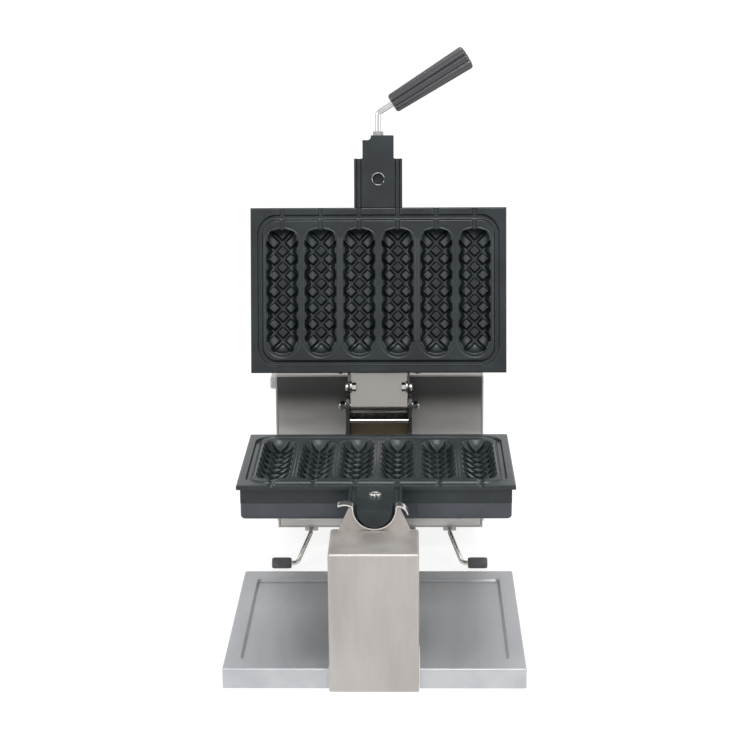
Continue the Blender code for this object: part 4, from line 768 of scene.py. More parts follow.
tinted_tube, places = start_finish("heat_tinted_tube", tint_brown, 0.9, 0.4)
feed("Base Color", places.noise(60.0, 3.0).above(0.4, 0.6).blend(tint_brown, tint_blue))


def keep(node, finish):
    """Gives a solid of the frame its finish and leaves its shape as it is."""
    for slot in frame["nodes"][node].material_slots:
        slot.material = finish


for half in ("lower", "upper"):
    keep(half + "_heater", tinted_tube)

# Hinge yoke
# A folded steel bracket on the back of the lower iron, blackened, with two arms that carry the hinge pin between
# them. A bright cross rod ties the arms, and chrome acorn nuts close the pin's ends.
hinge_half_width = 0.0344
arm_inner = 0.0354
arm_outer = 0.0396
arm_head_radius = 0.0140
arm_depth_below_axis = 0.0210
pin_radius = 0.0040
sleeve_wall = 0.0024
knuckle_wall = 0.0020
yoke_web = 0.0040
yoke_web_clearance = 0.0032
yoke_foot_width = 0.0200
yoke_foot_thickness = 0.0030
yoke_top_drop = 0.0040
yoke_screw_radius = 0.0036
yoke_screw_height = 0.0029
yoke_edge = 0.0005
web_cover = 0.0008
web_brown = rgb(122, 109, 90)
pin_nut_radius = 0.0058
pin_nut_height = 0.0052
pin_dome_height = 0.0033
pin_dome_seat_share = 0.82
pin_dome_share = 0.8
pin_nut_turn = 30
pin_washer_radius = 0.0066
pin_washer_height = 0.0012
cross_rod_radius = 0.0028
cross_rod_rise = 0.0049
rod_chamfer = 0.0004
blackened = rgb(62, 62, 61)
blackened_worn = rgb(104, 104, 102)
chrome_white = rgb(196, 195, 193)
# The acorn nuts' chrome is painted darker than the rest, a painted shade for the dark reflections on them.
chrome_painted_shade = rgb(138, 137, 136)
sleeve_bore = pin_radius + seat_gap
sleeve_radius = sleeve_bore + sleeve_wall
knuckle_inner = sleeve_radius + seat_gap
knuckle_outer = knuckle_inner + knuckle_wall
cross_rod_place = Vector((0, hinge_place.y, rotor_height + cross_rod_rise))
body_rear = plate_half_y - body_inset
rim_level = parting - rim_depth - seat_gap
right = Vector((1, 0, 0))

# Steel with a dull black oxide, rubbed grey in places.
blackened_finish, places = start_finish("blackened_steel", blackened, 0.85, 0.42)
worn = places.noise(70.0, 6.0, 0.65).above(0.48, 0.7)
feed("Base Color", worn.blend(blackened, blackened_worn))
feed("Roughness", worn * -0.12 + 0.46)
bump(places.noise(700.0, 3.0), 0.00006, 0.5)


def polished_metal(name, colour, roughness):
    """Bright metal with faint wipe marks in its shine."""
    made, places = start_finish(name, colour, 1.0, roughness)
    feed("Roughness", places.stretched((30, 90, 30)).noise(1.0, 5.0, 0.6).above(0.4, 0.75) * 0.1 + roughness)
    return made


def hexagon(radius, height, bore=0.0):
    """A hexagon nut or bolt head with its corners turned off, upright at the origin."""
    shave = radius / 10
    profile = [(0, 0), (radius - shave, 0), (radius, shave / 2), (radius, height - shave / 2)]
    profile += [(radius - shave, height), (0, height)]
    flats = prism(arc((0, 0), radius, 0, 300, 5), "XY", -overrun, height + overrun)
    holes = [straight_rod((0, 0, -overrun), (0, 0, height + overrun), bore)] if bore else []
    return shaped(turned(profile), cut=holes, kept=[flats])


def rod_across(place, reach, radius, chamfer=0.0):
    """A rod along X, to the same reach either side of a place."""
    return straight_rod(place - right * reach, place + right * reach, radius, chamfer=chamfer)


def set_screws(name, radius, height, places, direction, body):
    """Cross-head screws at places on a body, pointing one way."""
    place_piece(name, set_out(cross_head(radius, height), places, direction), zinc_finish, body, [])


def merged(parts):
    """One bmesh of several."""
    whole = bmesh.new()
    for part in parts:
        piece = mesh_of(part, "part")
        whole.from_mesh(piece)
        bpy.data.meshes.remove(piece)
    return whole


chrome_finish = polished_metal("chrome", chrome_white, 0.08)
# Painted shade: the acorn nuts' chrome is painted darker than the other chrome.
shaded_chrome = polished_metal("shaded_chrome", chrome_painted_shade, 0.02)
browned_finish = polished_metal("browned_plate", web_brown, 0.5)

front, low = body_rear + seat_gap, rotor_height - arm_depth_below_axis
web_front = hinge_place.y + knuckle_outer + yoke_web_clearance
web_rear = web_front + yoke_web
foot_x, foot_y = arm_outer + yoke_foot_width, front + yoke_foot_thickness
side = [(arm_inner, front), (foot_x, front), (foot_x, foot_y), (arm_outer, foot_y), (arm_outer, web_rear)]
plan = side + [(-x, y) for x, y in reversed(side)] + [(-arm_inner, web_front), (arm_inner, web_front)]
folded = prism(plan, "XY", low, hinge_place.z + arm_head_radius + overrun)
rim_rear, rim_top = plate_half_y + seat_gap, parting - seat_gap
outline = [(front - overrun, low - overrun), (front - overrun, rim_level), (rim_rear, rim_level)]
outline += [(rim_rear, rim_top), (hinge_place.y - arm_head_radius, rim_top)]
outline += arc((hinge_place.y, hinge_place.z), arm_head_radius, 180, 0, 32)
outline += [(web_rear + overrun, hinge_place.z - yoke_top_drop), (web_rear + overrun, low - overrun)]
reach = foot_x + overrun
bores = [rod_across(hinge_place, reach, sleeve_bore)]
bores.append(rod_across(cross_rod_place, reach, cross_rod_radius + seat_gap))
bm = shaped(folded, cut=bores, kept=[prism(outline, "YZ", -reach, reach)])
place_piece("arm_bracket", edged(bm, yoke_edge), blackened_finish, "rotor", ["hinge_yoke"])
middle = arm_outer + yoke_foot_width / 2
places = [(side * middle, foot_y, (rim_level + low) / 2) for side in (-1, 1)]
set_screws("bracket_screws", yoke_screw_radius, yoke_screw_height, places, backwards, "rotor")
side, top = arm_inner - yoke_edge, cross_rod_place.z - cross_rod_radius
cover = block((-side, web_front - web_cover, low + yoke_edge), (side, web_front, top), yoke_edge / 2)
place_piece("web_cover", cover, browned_finish, "rotor", [])

base = pin_washer_height + pin_nut_height
pin = rod_across(hinge_place, arm_outer + pin_washer_height + pin_nut_height, pin_radius, rod_chamfer)
place_piece("pivot_pin", pin, zinc_finish, "rotor", ["hinge_pin"])
dome = [(0, base), (pin_nut_radius * pin_dome_seat_share, base)]
dome += domed(pin_nut_radius * pin_dome_share, base + rod_chamfer, base + pin_dome_height)
washer = [(0, 0), (pin_washer_radius, 0), (pin_washer_radius, pin_washer_height), (0, pin_washer_height)]
for side, word in ((-1, "left"), (1, "right")):
    nut = hexagon(pin_nut_radius, pin_nut_height)
    bmesh.ops.rotate(nut, verts=nut.verts, matrix=Matrix.Rotation(math.radians(pin_nut_turn), 3, "Z"))
    bmesh.ops.translate(nut, vec=(0, 0, pin_washer_height), verts=nut.verts)
    whole = merged((nut, turned(dome), turned(eased(washer, rod_chamfer))))
    whole = set_out(whole, [hinge_place + right * side * (arm_outer + seat_gap)], right * side)
    place_piece("acorn_nut_" + word, whole, shaded_chrome, "rotor", ["pin_nut_" + word])

rod = rod_across(cross_rod_place, arm_outer, cross_rod_radius, rod_chamfer)
place_piece("arm_tie_rod", rod, chrome_finish, "rotor", ["cross_rod"])

# Hinge plate and lugs
# A polished plate rolled round a bronze sleeve on the pin, so that the lid swings with it. Two bright bolts and
# nuts hold its tabs between the lugs of a blackened bar screwed to the back of the upper iron.
knuckle_turn = 250
lug_thickness = 0.0022
lug_radius = 0.0068
lug_bolt_radius = 0.0025
lug_bolt_forward = 0.0227
lug_bolt_drop = 0.0150
lug_bolt_head_radius = 0.0046
lug_bolt_head_height = 0.0033
lug_nut_height = 0.0048
lug_nut_radius = 0.0050
hinge_bar_height = 0.0330
hinge_bar_thickness = 0.0026
hinge_bar_overhang = 0.0200
plate_edge = 0.0004
polished_grey = rgb(158, 155, 151)
bronze_brown = rgb(150, 134, 112)
bronze_dark = rgb(104, 90, 72)
lug_bolt_place = hinge_place - Vector((0, lug_bolt_forward, lug_bolt_drop))
bar_rear = body_rear + seat_gap + hinge_bar_thickness
tab_inner = hinge_half_width - knuckle_wall
lug_inner = hinge_half_width + seat_gap
lug_outer = lug_inner + lug_thickness

# Bearing bronze with fine turning marks and a brown tarnish.
bronze_finish, places = start_finish("bearing_bronze", bronze_brown, 1.0, 0.32)
tarnish = places.noise(120.0, 5.0, 0.6).above(0.42, 0.68)
feed("Base Color", tarnish.blend(bronze_brown, bronze_dark))
feed("Roughness", tarnish * 0.2 + 0.26)
bump(places.stretched((40, 2600, 40)).noise(1.0, 2.0), 0.00004, 0.4)

polished_finish = polished_metal("polished_plate", polished_grey, 0.24)


def pair(outline, inner, outer):
    """Two like upright plates, one on each side of the middle."""
    return [prism(outline, "YZ", *sorted((side * inner, side * outer))) for side in (-1, 1)]


def lug_bore():
    return rod_across(lug_bolt_place, arm_outer, lug_bolt_radius + seat_gap)


centre, start = (hinge_place.y, hinge_place.z), bar_rear + seat_gap
outline = [(start, hinge_place.z - knuckle_outer)]
outline += arc(centre, knuckle_outer, -90, -90 + knuckle_turn, 60)
outline += arc(centre, knuckle_inner, -90 + knuckle_turn, -90, 60)
outline.append((start, hinge_place.z - knuckle_inner))
top = hinge_place.z - knuckle_outer + knuckle_wall / 2
tab = [(lug_bolt_place.y + lug_radius, top), (lug_bolt_place.y - lug_radius, top)]
tab += arc((lug_bolt_place.y, lug_bolt_place.z), lug_radius, 180, 360, 24)
bm = shaped(
    prism(outline, "YZ", -hinge_half_width, hinge_half_width),
    joined=pair(tab, tab_inner, hinge_half_width),
    cut=[lug_bore()],
)
place_piece("rolled_plate", edged(bm, plate_edge), polished_finish, "lid", ["hinge_plate"])
base = hinge_place - right * hinge_half_width
sleeve = plain_ring(sleeve_bore, sleeve_radius, 0, 2 * hinge_half_width, rod_chamfer, base, right)
place_piece("pivot_sleeve", sleeve, bronze_finish, "lid", ["hinge_sleeve"])

side = lug_outer + hinge_bar_overhang
low = 2 * rotor_height - rim_level
high = low + hinge_bar_height
foot = bar_rear - hinge_bar_thickness / 2
outline = [(foot, lug_bolt_place.z + lug_radius), (foot, low), (plate_half_y, low)]
outline += arc((lug_bolt_place.y, lug_bolt_place.z), lug_radius, -90, 90, 24)
bar = block((-side, body_rear + seat_gap, low), (side, bar_rear, high))
bm = edged(shaped(bar, joined=pair(outline, lug_inner, lug_outer), cut=[lug_bore()]), plate_edge)
place_piece("lug_bar", bm, blackened_finish, "lid", ["hinge_lugs"])
across, levels = side - hinge_bar_overhang / 2, (low + hinge_bar_height / 4, high - hinge_bar_height / 4)
places = [(turn * across, bar_rear, level) for turn in (-1, 1) for level in levels]
set_screws("lug_bar_screws", yoke_screw_radius, yoke_screw_height, places, backwards, "lid")

nut_seat = tab_inner - seat_gap
shank = lug_outer - nut_seat + lug_nut_height + seat_gap
for side, word in ((-1, "left"), (1, "right")):
    inward = right * -side
    top = -seat_gap - lug_bolt_head_height
    profile = domed(lug_bolt_head_radius, top + lug_bolt_head_height / 2, top)[::-1]
    profile += [(lug_bolt_head_radius, -seat_gap), (lug_bolt_radius, -seat_gap)]
    profile += [(lug_bolt_radius, shank - rod_chamfer), (lug_bolt_radius - rod_chamfer, shank), (0, shank)]
    bolt = turned(profile, lug_bolt_place + right * side * lug_outer, inward)
    place_piece("lug_screw_" + word, bolt, chrome_finish, "lid", ["lug_bolt_" + word])
    nut = hexagon(lug_nut_radius, lug_nut_height, lug_bolt_radius + seat_gap)
    nut = set_out(nut, [lug_bolt_place + right * side * nut_seat], inward)
    place_piece("lug_hexagon_" + word, nut, chrome_finish, "lid", ["lug_nut_" + word])

# Rear shaft and bearing
# The rotor's turned shaft runs in a bronze bush, in a coated iron housing bolted to the front of the box. A bronze
# washer takes the thrust, and a collar with a grub screw holds the shaft inside.
shaft_radius = 0.0120
shaft_flange_radius = 0.0195
shaft_flange_thickness = 0.0050
thrust_washer_radius = 0.0190
bush_wall = 0.0040
bearing_flange_radius = 0.0340
bearing_flange_thickness = 0.0045
bearing_wall = 0.0055
bearing_length = 0.0420
bearing_bolt_circle = 0.0270
bearing_bolt_radius = 0.0042
bearing_bolt_height = 0.0029
collar_radius = 0.0200
collar_length = 0.0090
grub_radius = 0.0020
turned_edge = 0.0006
shaft_grey = rgb(120, 120, 119)
iron_dark = rgb(52, 56, 59)
iron_pale = rgb(74, 79, 82)
shaft_start, shaft_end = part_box("rotor_shaft")[0].y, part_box("rotor_shaft")[1].y
bearing_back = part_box("bearing_bush")[1].y
bearing_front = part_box("bearing_bush")[0].y
shaft_bore = shaft_radius + seat_gap
bush_radius = shaft_bore + bush_wall
bearing_bore = bush_radius + seat_gap
bearing_radius = bearing_bore + bearing_wall


def at_axis(y):
    return Vector((0, y, rotor_height))


# Turned steel: fine rings about the shaft, dulled with oil.
machined_finish, places = start_finish("machined_steel", shaft_grey, 1.0, 0.32)
rings = places.stretched((60, 2400, 60)).noise(1.0, 2.0)
feed("Roughness", rings * 0.2 + 0.24)
bump(rings, 0.00005, 0.5)

# Coated cast iron with a sandy skin.
iron_finish, places = start_finish("coated_iron", iron_dark, 0.1, 0.5)
skin = places.noise(380.0, 5.0, 0.6)
feed("Base Color", skin.above(0.4, 0.7).blend(iron_dark, iron_pale))
bump(skin, 0.0003, 0.7)

length, thick = shaft_end - shaft_start, shaft_flange_thickness
profile = [(0, 0), (shaft_flange_radius, 0), (shaft_flange_radius, thick), (shaft_radius, thick)]
profile = eased(profile + [(shaft_radius, length), (0, length)], turned_edge)
bm = turned(profile, at_axis(shaft_start), backwards)
place_piece("turned_shaft", bm, machined_finish, "rotor", ["rotor_shaft"])
front, back = bearing_back + seat_gap, bearing_back + seat_gap + collar_length
collar = plain_ring(shaft_bore, collar_radius, 0, back - front, turned_edge, at_axis(front), backwards)
middle = at_axis((front + back) / 2)
start, end = [middle + upwards * (collar_radius + step) for step in (-overrun, overrun)]
grub = straight_rod(start, end, grub_radius)
place_piece("locking_collar", shaped(collar, cut=[grub]), zinc_finish, "rotor", ["shaft_collar"])

length = bearing_back - bearing_front
ring = [(bearing_bore, 0), (bearing_flange_radius, 0), (bearing_flange_radius, bearing_flange_thickness)]
ring += [(bearing_radius, bearing_flange_thickness), (bearing_radius, length), (bearing_bore, length)]
housing = turned(eased(ring, turned_edge, closed=True), at_axis(bearing_front), backwards, close=True)
place_piece("flanged_bearing", housing, iron_finish, "stand", ["bearing_housing"])
places = [(x, bearing_front, z) for x, z in arc((0, rotor_height), bearing_bolt_circle, 45, 315, 3)]
bolts = set_out(hexagon(bearing_bolt_radius, bearing_bolt_height), places, -backwards)
place_piece("bearing_bolts", bolts, zinc_finish, "stand", [])
bush = plain_ring(shaft_bore, bush_radius, 0, length, turned_edge, at_axis(bearing_front), backwards)
place_piece("bronze_bush", bush, bronze_finish, "stand", ["bearing_bush"])
front, back = shaft_start + shaft_flange_thickness + seat_gap, bearing_front - seat_gap
washer = plain_ring(shaft_bore, thrust_washer_radius, 0, back - front, turned_edge, at_axis(front), backwards)
place_piece("bronze_washer", washer, bronze_finish, "stand", ["thrust_washer"])
# Handle
# A chromed rod screwed into the upper block and locked by a nut. It bends to the side and carries a fluted grip
# moulded in black phenolic.
handle_nut_radius = 0.0062
handle_nut_height = 0.0050
handle_straight = 0.0275
handle_bend_radius = 0.0060
handle_side_angle = 58.0
handle_neck = 0.0200
grip_length = 0.1056
grip_small_radius = 0.0118
grip_large_radius = 0.0148
grip_flutes = 9
grip_flute_depth = 0.0020
grip_end_round = 0.0034
grip_rod_seat = 0.0300
flute_points = 16
flute_sharpness = 5
phenolic_black = rgb(42, 43, 48)
phenolic_grey = rgb(52, 52, 56)
phenolic_shine = 0.75
grip_sharp = 50
side_turn = math.radians(handle_side_angle)
handle_way = Vector((math.sin(side_turn), -math.cos(side_turn), 0))
handle_level = rotor_height + handle_rise
handle_corner = Vector((0, journal_front - handle_straight, handle_level))
grip_start = handle_corner + handle_way * handle_neck


def bent_path(corners, radius, steps=12):
    """A path through corner points, with each inner corner rounded to the bend radius."""
    path = [Vector(corners[0])]
    for before, corner, after in zip(corners, corners[1:], corners[2:]):
        before, corner, after = Vector(before), Vector(corner), Vector(after)
        towards, onwards = (before - corner).normalized(), (after - corner).normalized()
        half_angle = towards.angle(onwards) / 2
        centre = corner + (towards + onwards).normalized() * (radius / math.sin(half_angle))
        first = corner + towards * (radius / math.tan(half_angle)) - centre
        last = corner + onwards * (radius / math.tan(half_angle)) - centre
        turn_axis, turn_angle = first.cross(last), first.angle(last)
        for step in range(steps + 1):
            path.append(centre + Matrix.Rotation(turn_angle * step / steps, 3, turn_axis) @ first)
    return path + [Vector(corners[-1])]


def rod_along(path, radius, sides=32):
    """A round rod along a path of points, with its ends chamfered."""
    first, last = (path[1] - path[0]).normalized(), (path[-1] - path[-2]).normalized()
    points = [path[0], path[0] + first * rod_chamfer, *path[1:-1], path[-1] - last * rod_chamfer, path[-1]]
    ways = [(after - before).normalized() for before, after in zip(points, points[1:])]
    ways = [ways[0]] + [(before + after).normalized() for before, after in zip(ways, ways[1:])] + [ways[-1]]
    turn = ways[0].to_track_quat("Z", "Y")
    rings = []
    for index, (point, way) in enumerate(zip(points, ways)):
        turn = (turn @ upwards).rotation_difference(way) @ turn
        size = radius - rod_chamfer if index in (0, len(points) - 1) else radius
        rings.append([point + turn @ Vector((x, y, 0)) for x, y in arc((0, 0), size, 0, 360, sides)[:-1]])
    return lofted(rings)


def fluted_outline(radius, flutes, depth):
    """A circle with narrow flutes between broad ribs, as on a moulded grip or knob."""
    points = []
    sides = flutes * flute_points
    for side in range(sides):
        angle = math.tau * side / sides
        reach = radius - depth * ((1 - math.cos(angle * flutes)) / 2) ** flute_sharpness
        points.append((reach * math.cos(angle), reach * math.sin(angle)))
    return points


# Moulded phenolic: near black and half glossy, with an even fine grain and duller handled patches.
shine = {"Specular IOR Level": phenolic_shine}
phenolic_finish, places = start_finish("phenolic_grip", phenolic_black, 0.0, 0.25, shine)
grain = places.noise(900.0, 2.0)
feed("Base Color", grain.above(0.35, 0.7).blend(phenolic_black, phenolic_grey))
feed("Roughness", places.noise(60.0, 3.0) * 0.14 + 0.17)
bump(grain, 0.00003, 0.4)

end = grip_start + handle_way * (grip_rod_seat - seat_gap)
start = Vector((0, journal_front + handle_rod_seat, handle_level))
rod = rod_along(bent_path([start, handle_corner, end], handle_bend_radius), handle_rod_radius)
place_piece("bent_handle_rod", rod, chrome_finish, "lid", ["handle_rod"])
nut = hexagon(handle_nut_radius, handle_nut_height, handle_rod_radius + seat_gap)
nut = set_out(nut, [(0, journal_front - seat_gap, handle_level)], -backwards)
place_piece("handle_lock_nut", nut, zinc_finish, "lid", ["handle_nut"])

levels = [(grip_end_round - x, grip_end_round - z) for x, z in arc((0, 0), grip_end_round, 0, 90, 6)]
far = [(grip_length - distance, inset) for distance, inset in reversed(levels)]
rings = []
for distance, inset in levels + far:
    radius = grip_small_radius + (grip_large_radius - grip_small_radius) * distance / grip_length - inset
    outline = fluted_outline(radius, grip_flutes, grip_flute_depth)
    rings.append([Vector((x, y, distance)) for x, y in outline])
hole = straight_rod((0, 0, -overrun), (0, 0, grip_rod_seat), handle_rod_radius + seat_gap)
bm = set_out(shaped(lofted(rings), cut=[hole]), [grip_start], handle_way)
place_piece("fluted_grip", bm, phenolic_finish, "lid", ["handle_grip"], grip_sharp)

# Front column
# A post folded from stainless sheet, with a flat ledge on top. Its rear wall stands up as two ears round the
# notch that holds the cradle. The sheet is brushed upwards.
column_depth = 0.0766
column_wall = 0.0018
column_bend = 0.0030
ear_base_half_width = 0.0380
ear_peak_half_width = 0.0268
ear_height = 0.0242
liner_radius = 0.0220
liner_thickness = 0.0015
sheet_edge = 0.0004
smear_across = 20
smear_along = 5
steel_grey = rgb(184, 180, 176)
steel_dull = rgb(168, 162, 158)
column_front, column_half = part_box("front_column")[0].y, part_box("front_column")[1].x
column_rear = column_front + column_depth
rail_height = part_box("base_rail")[1].z
liner_centre = parting - journal_radius - seat_gap + liner_radius
ledge_height = liner_centre - liner_radius - liner_thickness - seat_gap
ear_top = ledge_height + ear_height


def brushed_steel(name, grain, bright, dull, roughness=0.42, metallic=0.8, painted_shade=None):
    """Stainless sheet: faint brushing along one axis under soft smears, drawn out the same way.

    A painted shade is a darker colour that the sheet takes on with height, in place of real shade, and the levels
    where it starts and is full.
    """
    made, places = start_finish(name, bright, metallic, roughness)
    lines = places.stretched(grain).noise(1.0, 3.0, 0.7)
    smear = places.stretched([smear_across if scale > smear_across else smear_along for scale in grain])
    smear = smear.noise(1.0, 5.0, 0.6)
    colour = (lines * 0.25 + smear * 0.75).above(0.34, 0.64).blend(dull, bright)
    # Painted shade: where one is given, the sheet is painted darker with height.
    if painted_shade:
        shade, low, high = painted_shade
        height = places.node("ShaderNodeSeparateXYZ", {}, {"Vector": places}, 2)
        colour = (height + smear * painted_shade_spread).above(low, high).blend(colour, shade)
    feed("Base Color", colour)
    feed("Roughness", lines * 0.08 + smear * 0.16 + (roughness - 0.12))
    bump(lines, 0.00002, 0.25)
    return made


brushed_upwards = brushed_steel("steel_brushed_upwards", (1500, 1500, 12), steel_grey, steel_dull, 0.5)
brushed_back = brushed_steel("steel_brushed_back", (1500, 12, 1500), steel_grey, steel_dull)


def folded_post(half_x, front, back, low, top, radius):
    """A block with its upright front corners and its top edges rounded, other than at the back."""
    bm = block((-half_x, front, low), (half_x, back, top))
    edges = []
    for line in bm.edges:
        middle = (line.verts[0].co + line.verts[1].co) / 2
        at_front, at_top, at_side = middle.y < (front + back) / 2, middle.z > top / 2, abs(middle.x) > half_x / 2
        upright = abs(line.verts[0].co.z - line.verts[1].co.z) > top / 2
        if at_front and (upright or (at_top and not at_side)) or (at_top and at_side and not upright):
            edges.append(line)
    return rounded(bm, edges, radius, 6)


inner = (column_half - column_wall, column_front + column_wall, column_rear - column_wall)
inside = folded_post(*inner, -overrun, ledge_height - column_wall, column_bend - column_wall)
outline = [(-ear_base_half_width, ledge_height - column_wall / 2)]
outline += [(ear_base_half_width, ledge_height - column_wall / 2), (ear_peak_half_width, ear_top)]
notch = liner_radius + liner_thickness + seat_gap
high = math.degrees(math.asin((ear_top - liner_centre) / notch))
outline += arc((0, liner_centre), notch, high, -180 - high, 48)
outline.append((-ear_peak_half_width, ear_top))
ears = prism(outline, "XZ", column_rear - column_wall, column_rear)
near, far = column_rear - column_wall - overrun, column_rear + overrun
rail_side = column_half - column_wall
mouth = block((-rail_side, near, -overrun), (rail_side, far, rail_height + seat_gap))
bm = folded_post(column_half, column_front, column_rear, 0, ledge_height, column_bend)
bm = shaped(shaped(bm, cut=[inside]), joined=[ears], cut=[mouth])
place_piece("folded_post", edged(bm, sheet_edge), brushed_upwards, "stand", ["front_column"])

# Cradle
# A polished strip bent to a U, in which the journal turns. Its ends curl outwards over the ears.
liner_depth = 0.0140
liner_front_reach = 0.0032
lip_radius = 0.0026
lip_steps = 14
left_lip = {"turn": 62, "reach": 0.0146, "droop": 55}
right_lip = {"turn": 100, "reach": 0.0138, "droop": 70}
liner_bright = rgb(224, 221, 219)


def strip_outline(path, thickness):
    """The outline of a bent strip that follows a path of 2D points."""
    points = [Vector(point) for point in path]
    left, right_side = [], []
    for index, point in enumerate(points):
        before, after = points[max(index - 1, 0)], points[min(index + 1, len(points) - 1)]
        along = (after - before).normalized()
        normal = Vector((-along.y, along.x)) * (thickness / 2)
        left.append(point + normal)
        right_side.append(point - normal)
    return [tuple(point) for point in left + right_side[::-1]]


def lip(side, turn, reach, droop):
    """The path of a lip from the cradle's upright side: a tight outward bend, and then a long one that droops."""
    centre = liner_radius + liner_thickness / 2 + lip_radius
    path = [(centre - x, z) for x, z in arc((0, liner_centre), lip_radius, 0, turn, 12)]
    for step in range(lip_steps):
        heading = math.radians(turn + droop * (step + 0.5) / lip_steps)
        x, z = path[-1]
        path.append((x + reach / lip_steps * math.sin(heading), z + reach / lip_steps * math.cos(heading)))
    return [(side * x, z) for x, z in path]


path = lip(-1, **left_lip)[::-1]
path += arc((0, liner_centre), liner_radius + liner_thickness / 2, 180, 360, 48)[1:-1]
path += lip(1, **right_lip)
front = column_rear - column_wall - liner_front_reach
bm = prism(strip_outline(path, liner_thickness), "XZ", front, front + liner_depth)
bm = edged(bm, sheet_edge, least=50)
strip_finish = polished_metal("bright_strip", liner_bright, 0.2)
place_piece("cradle_strip", bm, strip_finish, "stand", ["cradle_liner"])

# Base rail and pedestal
# A flat stainless tube on the counter ties the column to the control box, which stands on it by a steel spacer.
tube_round = 0.0020
tube_wall = 0.0020

low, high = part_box("base_rail")
half_x, half_z, middle = high.x, (high.z - low.z) / 2, (0, (low.z + high.z) / 2)
outer = rounded_rectangle(half_x, half_z, tube_round, middle=middle)
bore = rounded_rectangle(half_x - tube_wall, half_z - tube_wall, tube_round / 2, middle=middle)
tube = prism(outer, "XZ", low.y, high.y)
bm = shaped(tube, cut=[prism(bore, "XZ", low.y - overrun, high.y + overrun)])
place_piece("flat_tube", bm, brushed_back, "stand", ["base_rail"])
bm = block(*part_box("rear_pedestal"), tube_round, 4)
place_piece("box_spacer", bm, blackened_finish, "stand", ["rear_pedestal"])

# Drip tray
# A shallow stainless tray pressed from sheet, on its own folded flanges. Its sunk floor catches the batter, and
# it is notched so that it slides round the column and over the base rail.
tray_sheet = 0.0012
tray_side_rim = 0.0150
tray_end_rim = 0.0240
tray_recess = 0.0030
tray_recess_slope = 0.0040
tray_recess_corner = 0.0060
tray_corner_round = 0.0024
tray_fold = 0.0011
tray_notch_clearance = 0.0008
tray_rail_clearance = 0.0010
tray_grey = rgb(190, 192, 195)
tray_dull = rgb(176, 178, 182)
tray_low, tray_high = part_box("drip_tray")
tray_middle = (0, (tray_low.y + tray_high.y) / 2)
tray_half_length = (tray_high.y - tray_low.y) / 2


def tray_block(inset, low, high, corner, fold):
    """A block with rounded corners and its top edge folded over."""
    rings = []
    levels = [(low, 0)] + [(high - fold + up, fold - across) for across, up in arc((0, 0), fold, 0, 90, 4)]
    for level, narrow in levels:
        half_x, half_y = tray_high.x - inset - narrow, tray_half_length - inset - narrow
        rings.append(level_ring(half_x, half_y, corner - narrow, level, 8, tray_middle))
    return lofted(rings)


def tray_recess_block(grow, low, high):
    """The sunk middle of the tray, which narrows towards its floor."""
    rings = []
    half_x, half_y = tray_high.x - tray_side_rim + grow, tray_half_length - tray_end_rim + grow
    for level, inset in ((low, tray_recess_slope), (high, 0)):
        corner = tray_recess_corner - inset + grow
        rings.append(level_ring(half_x - inset, half_y - inset, corner, level, middle=tray_middle))
    return lofted(rings)


top, floor = tray_high.z, tray_high.z - tray_recess
corner = tray_corner_round - tray_sheet
under = tray_block(tray_sheet, -overrun, top - tray_sheet, corner, tray_fold / 2)
under = shaped(under, cut=[tray_recess_block(tray_sheet, floor - tray_sheet, top)])
side, back = column_half + tray_notch_clearance, column_rear + tray_notch_clearance
notch = block((-side, tray_low.y - overrun, -overrun), (side, back, top + overrun))
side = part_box("base_rail")[1].x + tray_rail_clearance
near, over_rail = tray_high.y - tray_sheet - overrun, rail_height + tray_rail_clearance
mouth = block((-side, near, -overrun), (side, tray_high.y + overrun, over_rail))
cuts = [under, tray_recess_block(0, floor, top + overrun), notch, mouth]
bm = shaped(tray_block(0, 0, top, tray_corner_round, tray_fold), cut=cuts)
tray_finish = brushed_steel("tray_steel", (1500, 12, 1500), tray_grey, tray_dull, 0.46)
place_piece("pressed_tray", edged(bm, sheet_edge), tray_finish, "stand", ["drip_tray"])

# Control box
# A wrap of brushed stainless over the top and the sides, screwed on over two folded panels and a floor. The
# front panel carries the bearing, the knobs and the lamps, and the rear one has vent slots and the gland.
box_sheet = 0.0015
box_hem = 0.0022
box_reveal = 0.0010
panel_return = 0.0120
vent_count = 5
vent_length = 0.0360
vent_height = 0.0030
vent_pitch = 0.0080
vent_drop = 0.0548
vent_offset = 0.0580
vent_end_share = 0.98
box_screw_radius = 0.0036
box_screw_height = 0.0021
wrap_screw_stand = 0.0022
box_screw_inset = 0.0065
knob_spread = 0.0970
knob_stem_radius = 0.0030
lamp_spread = 0.0480
lamp_radius = 0.0050
gland_radius = 0.0100
gland_side = 0.0700
gland_rise = 0.0350
switch_length = 0.0210
switch_width = 0.0092
panel_grey = rgb(203, 201, 197)
panel_dull = rgb(187, 184, 180)
# The front panel's painted shade: a dark colour, the heights where it starts and is full, and how far the smears
# spread it.
panel_painted_shade = rgb(86, 85, 84)
painted_shade_low = 0.174
painted_shade_high = 0.206
painted_shade_spread = 0.006
box_floor_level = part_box("box_cover")[0].z
box_front, box_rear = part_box("box_cover")[0].y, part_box("box_cover")[1].y
box_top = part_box("box_cover")[1].z
box_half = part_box("box_cover")[1].x - wrap_screw_stand
panel_front = box_front + box_reveal
panel_half = box_half - box_hem - seat_gap
panel_top = box_top - box_hem - seat_gap
control_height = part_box("timer_knob")[0].z + (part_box("timer_knob")[1].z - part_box("timer_knob")[0].z) / 2
switch_place = (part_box("switch_rocker")[0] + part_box("switch_rocker")[1]) / 2


def arched_block(half_x, front, back, low, top, bend):
    """A block with its two long top edges rounded by the sheet's bend."""
    outline = [(-half_x, low), (half_x, low)]
    outline += arc((half_x - bend, top - bend), bend, 0, 90, 8)
    outline += arc((bend - half_x, top - bend), bend, 90, 180, 8)
    return prism(outline, "XZ", front, back)


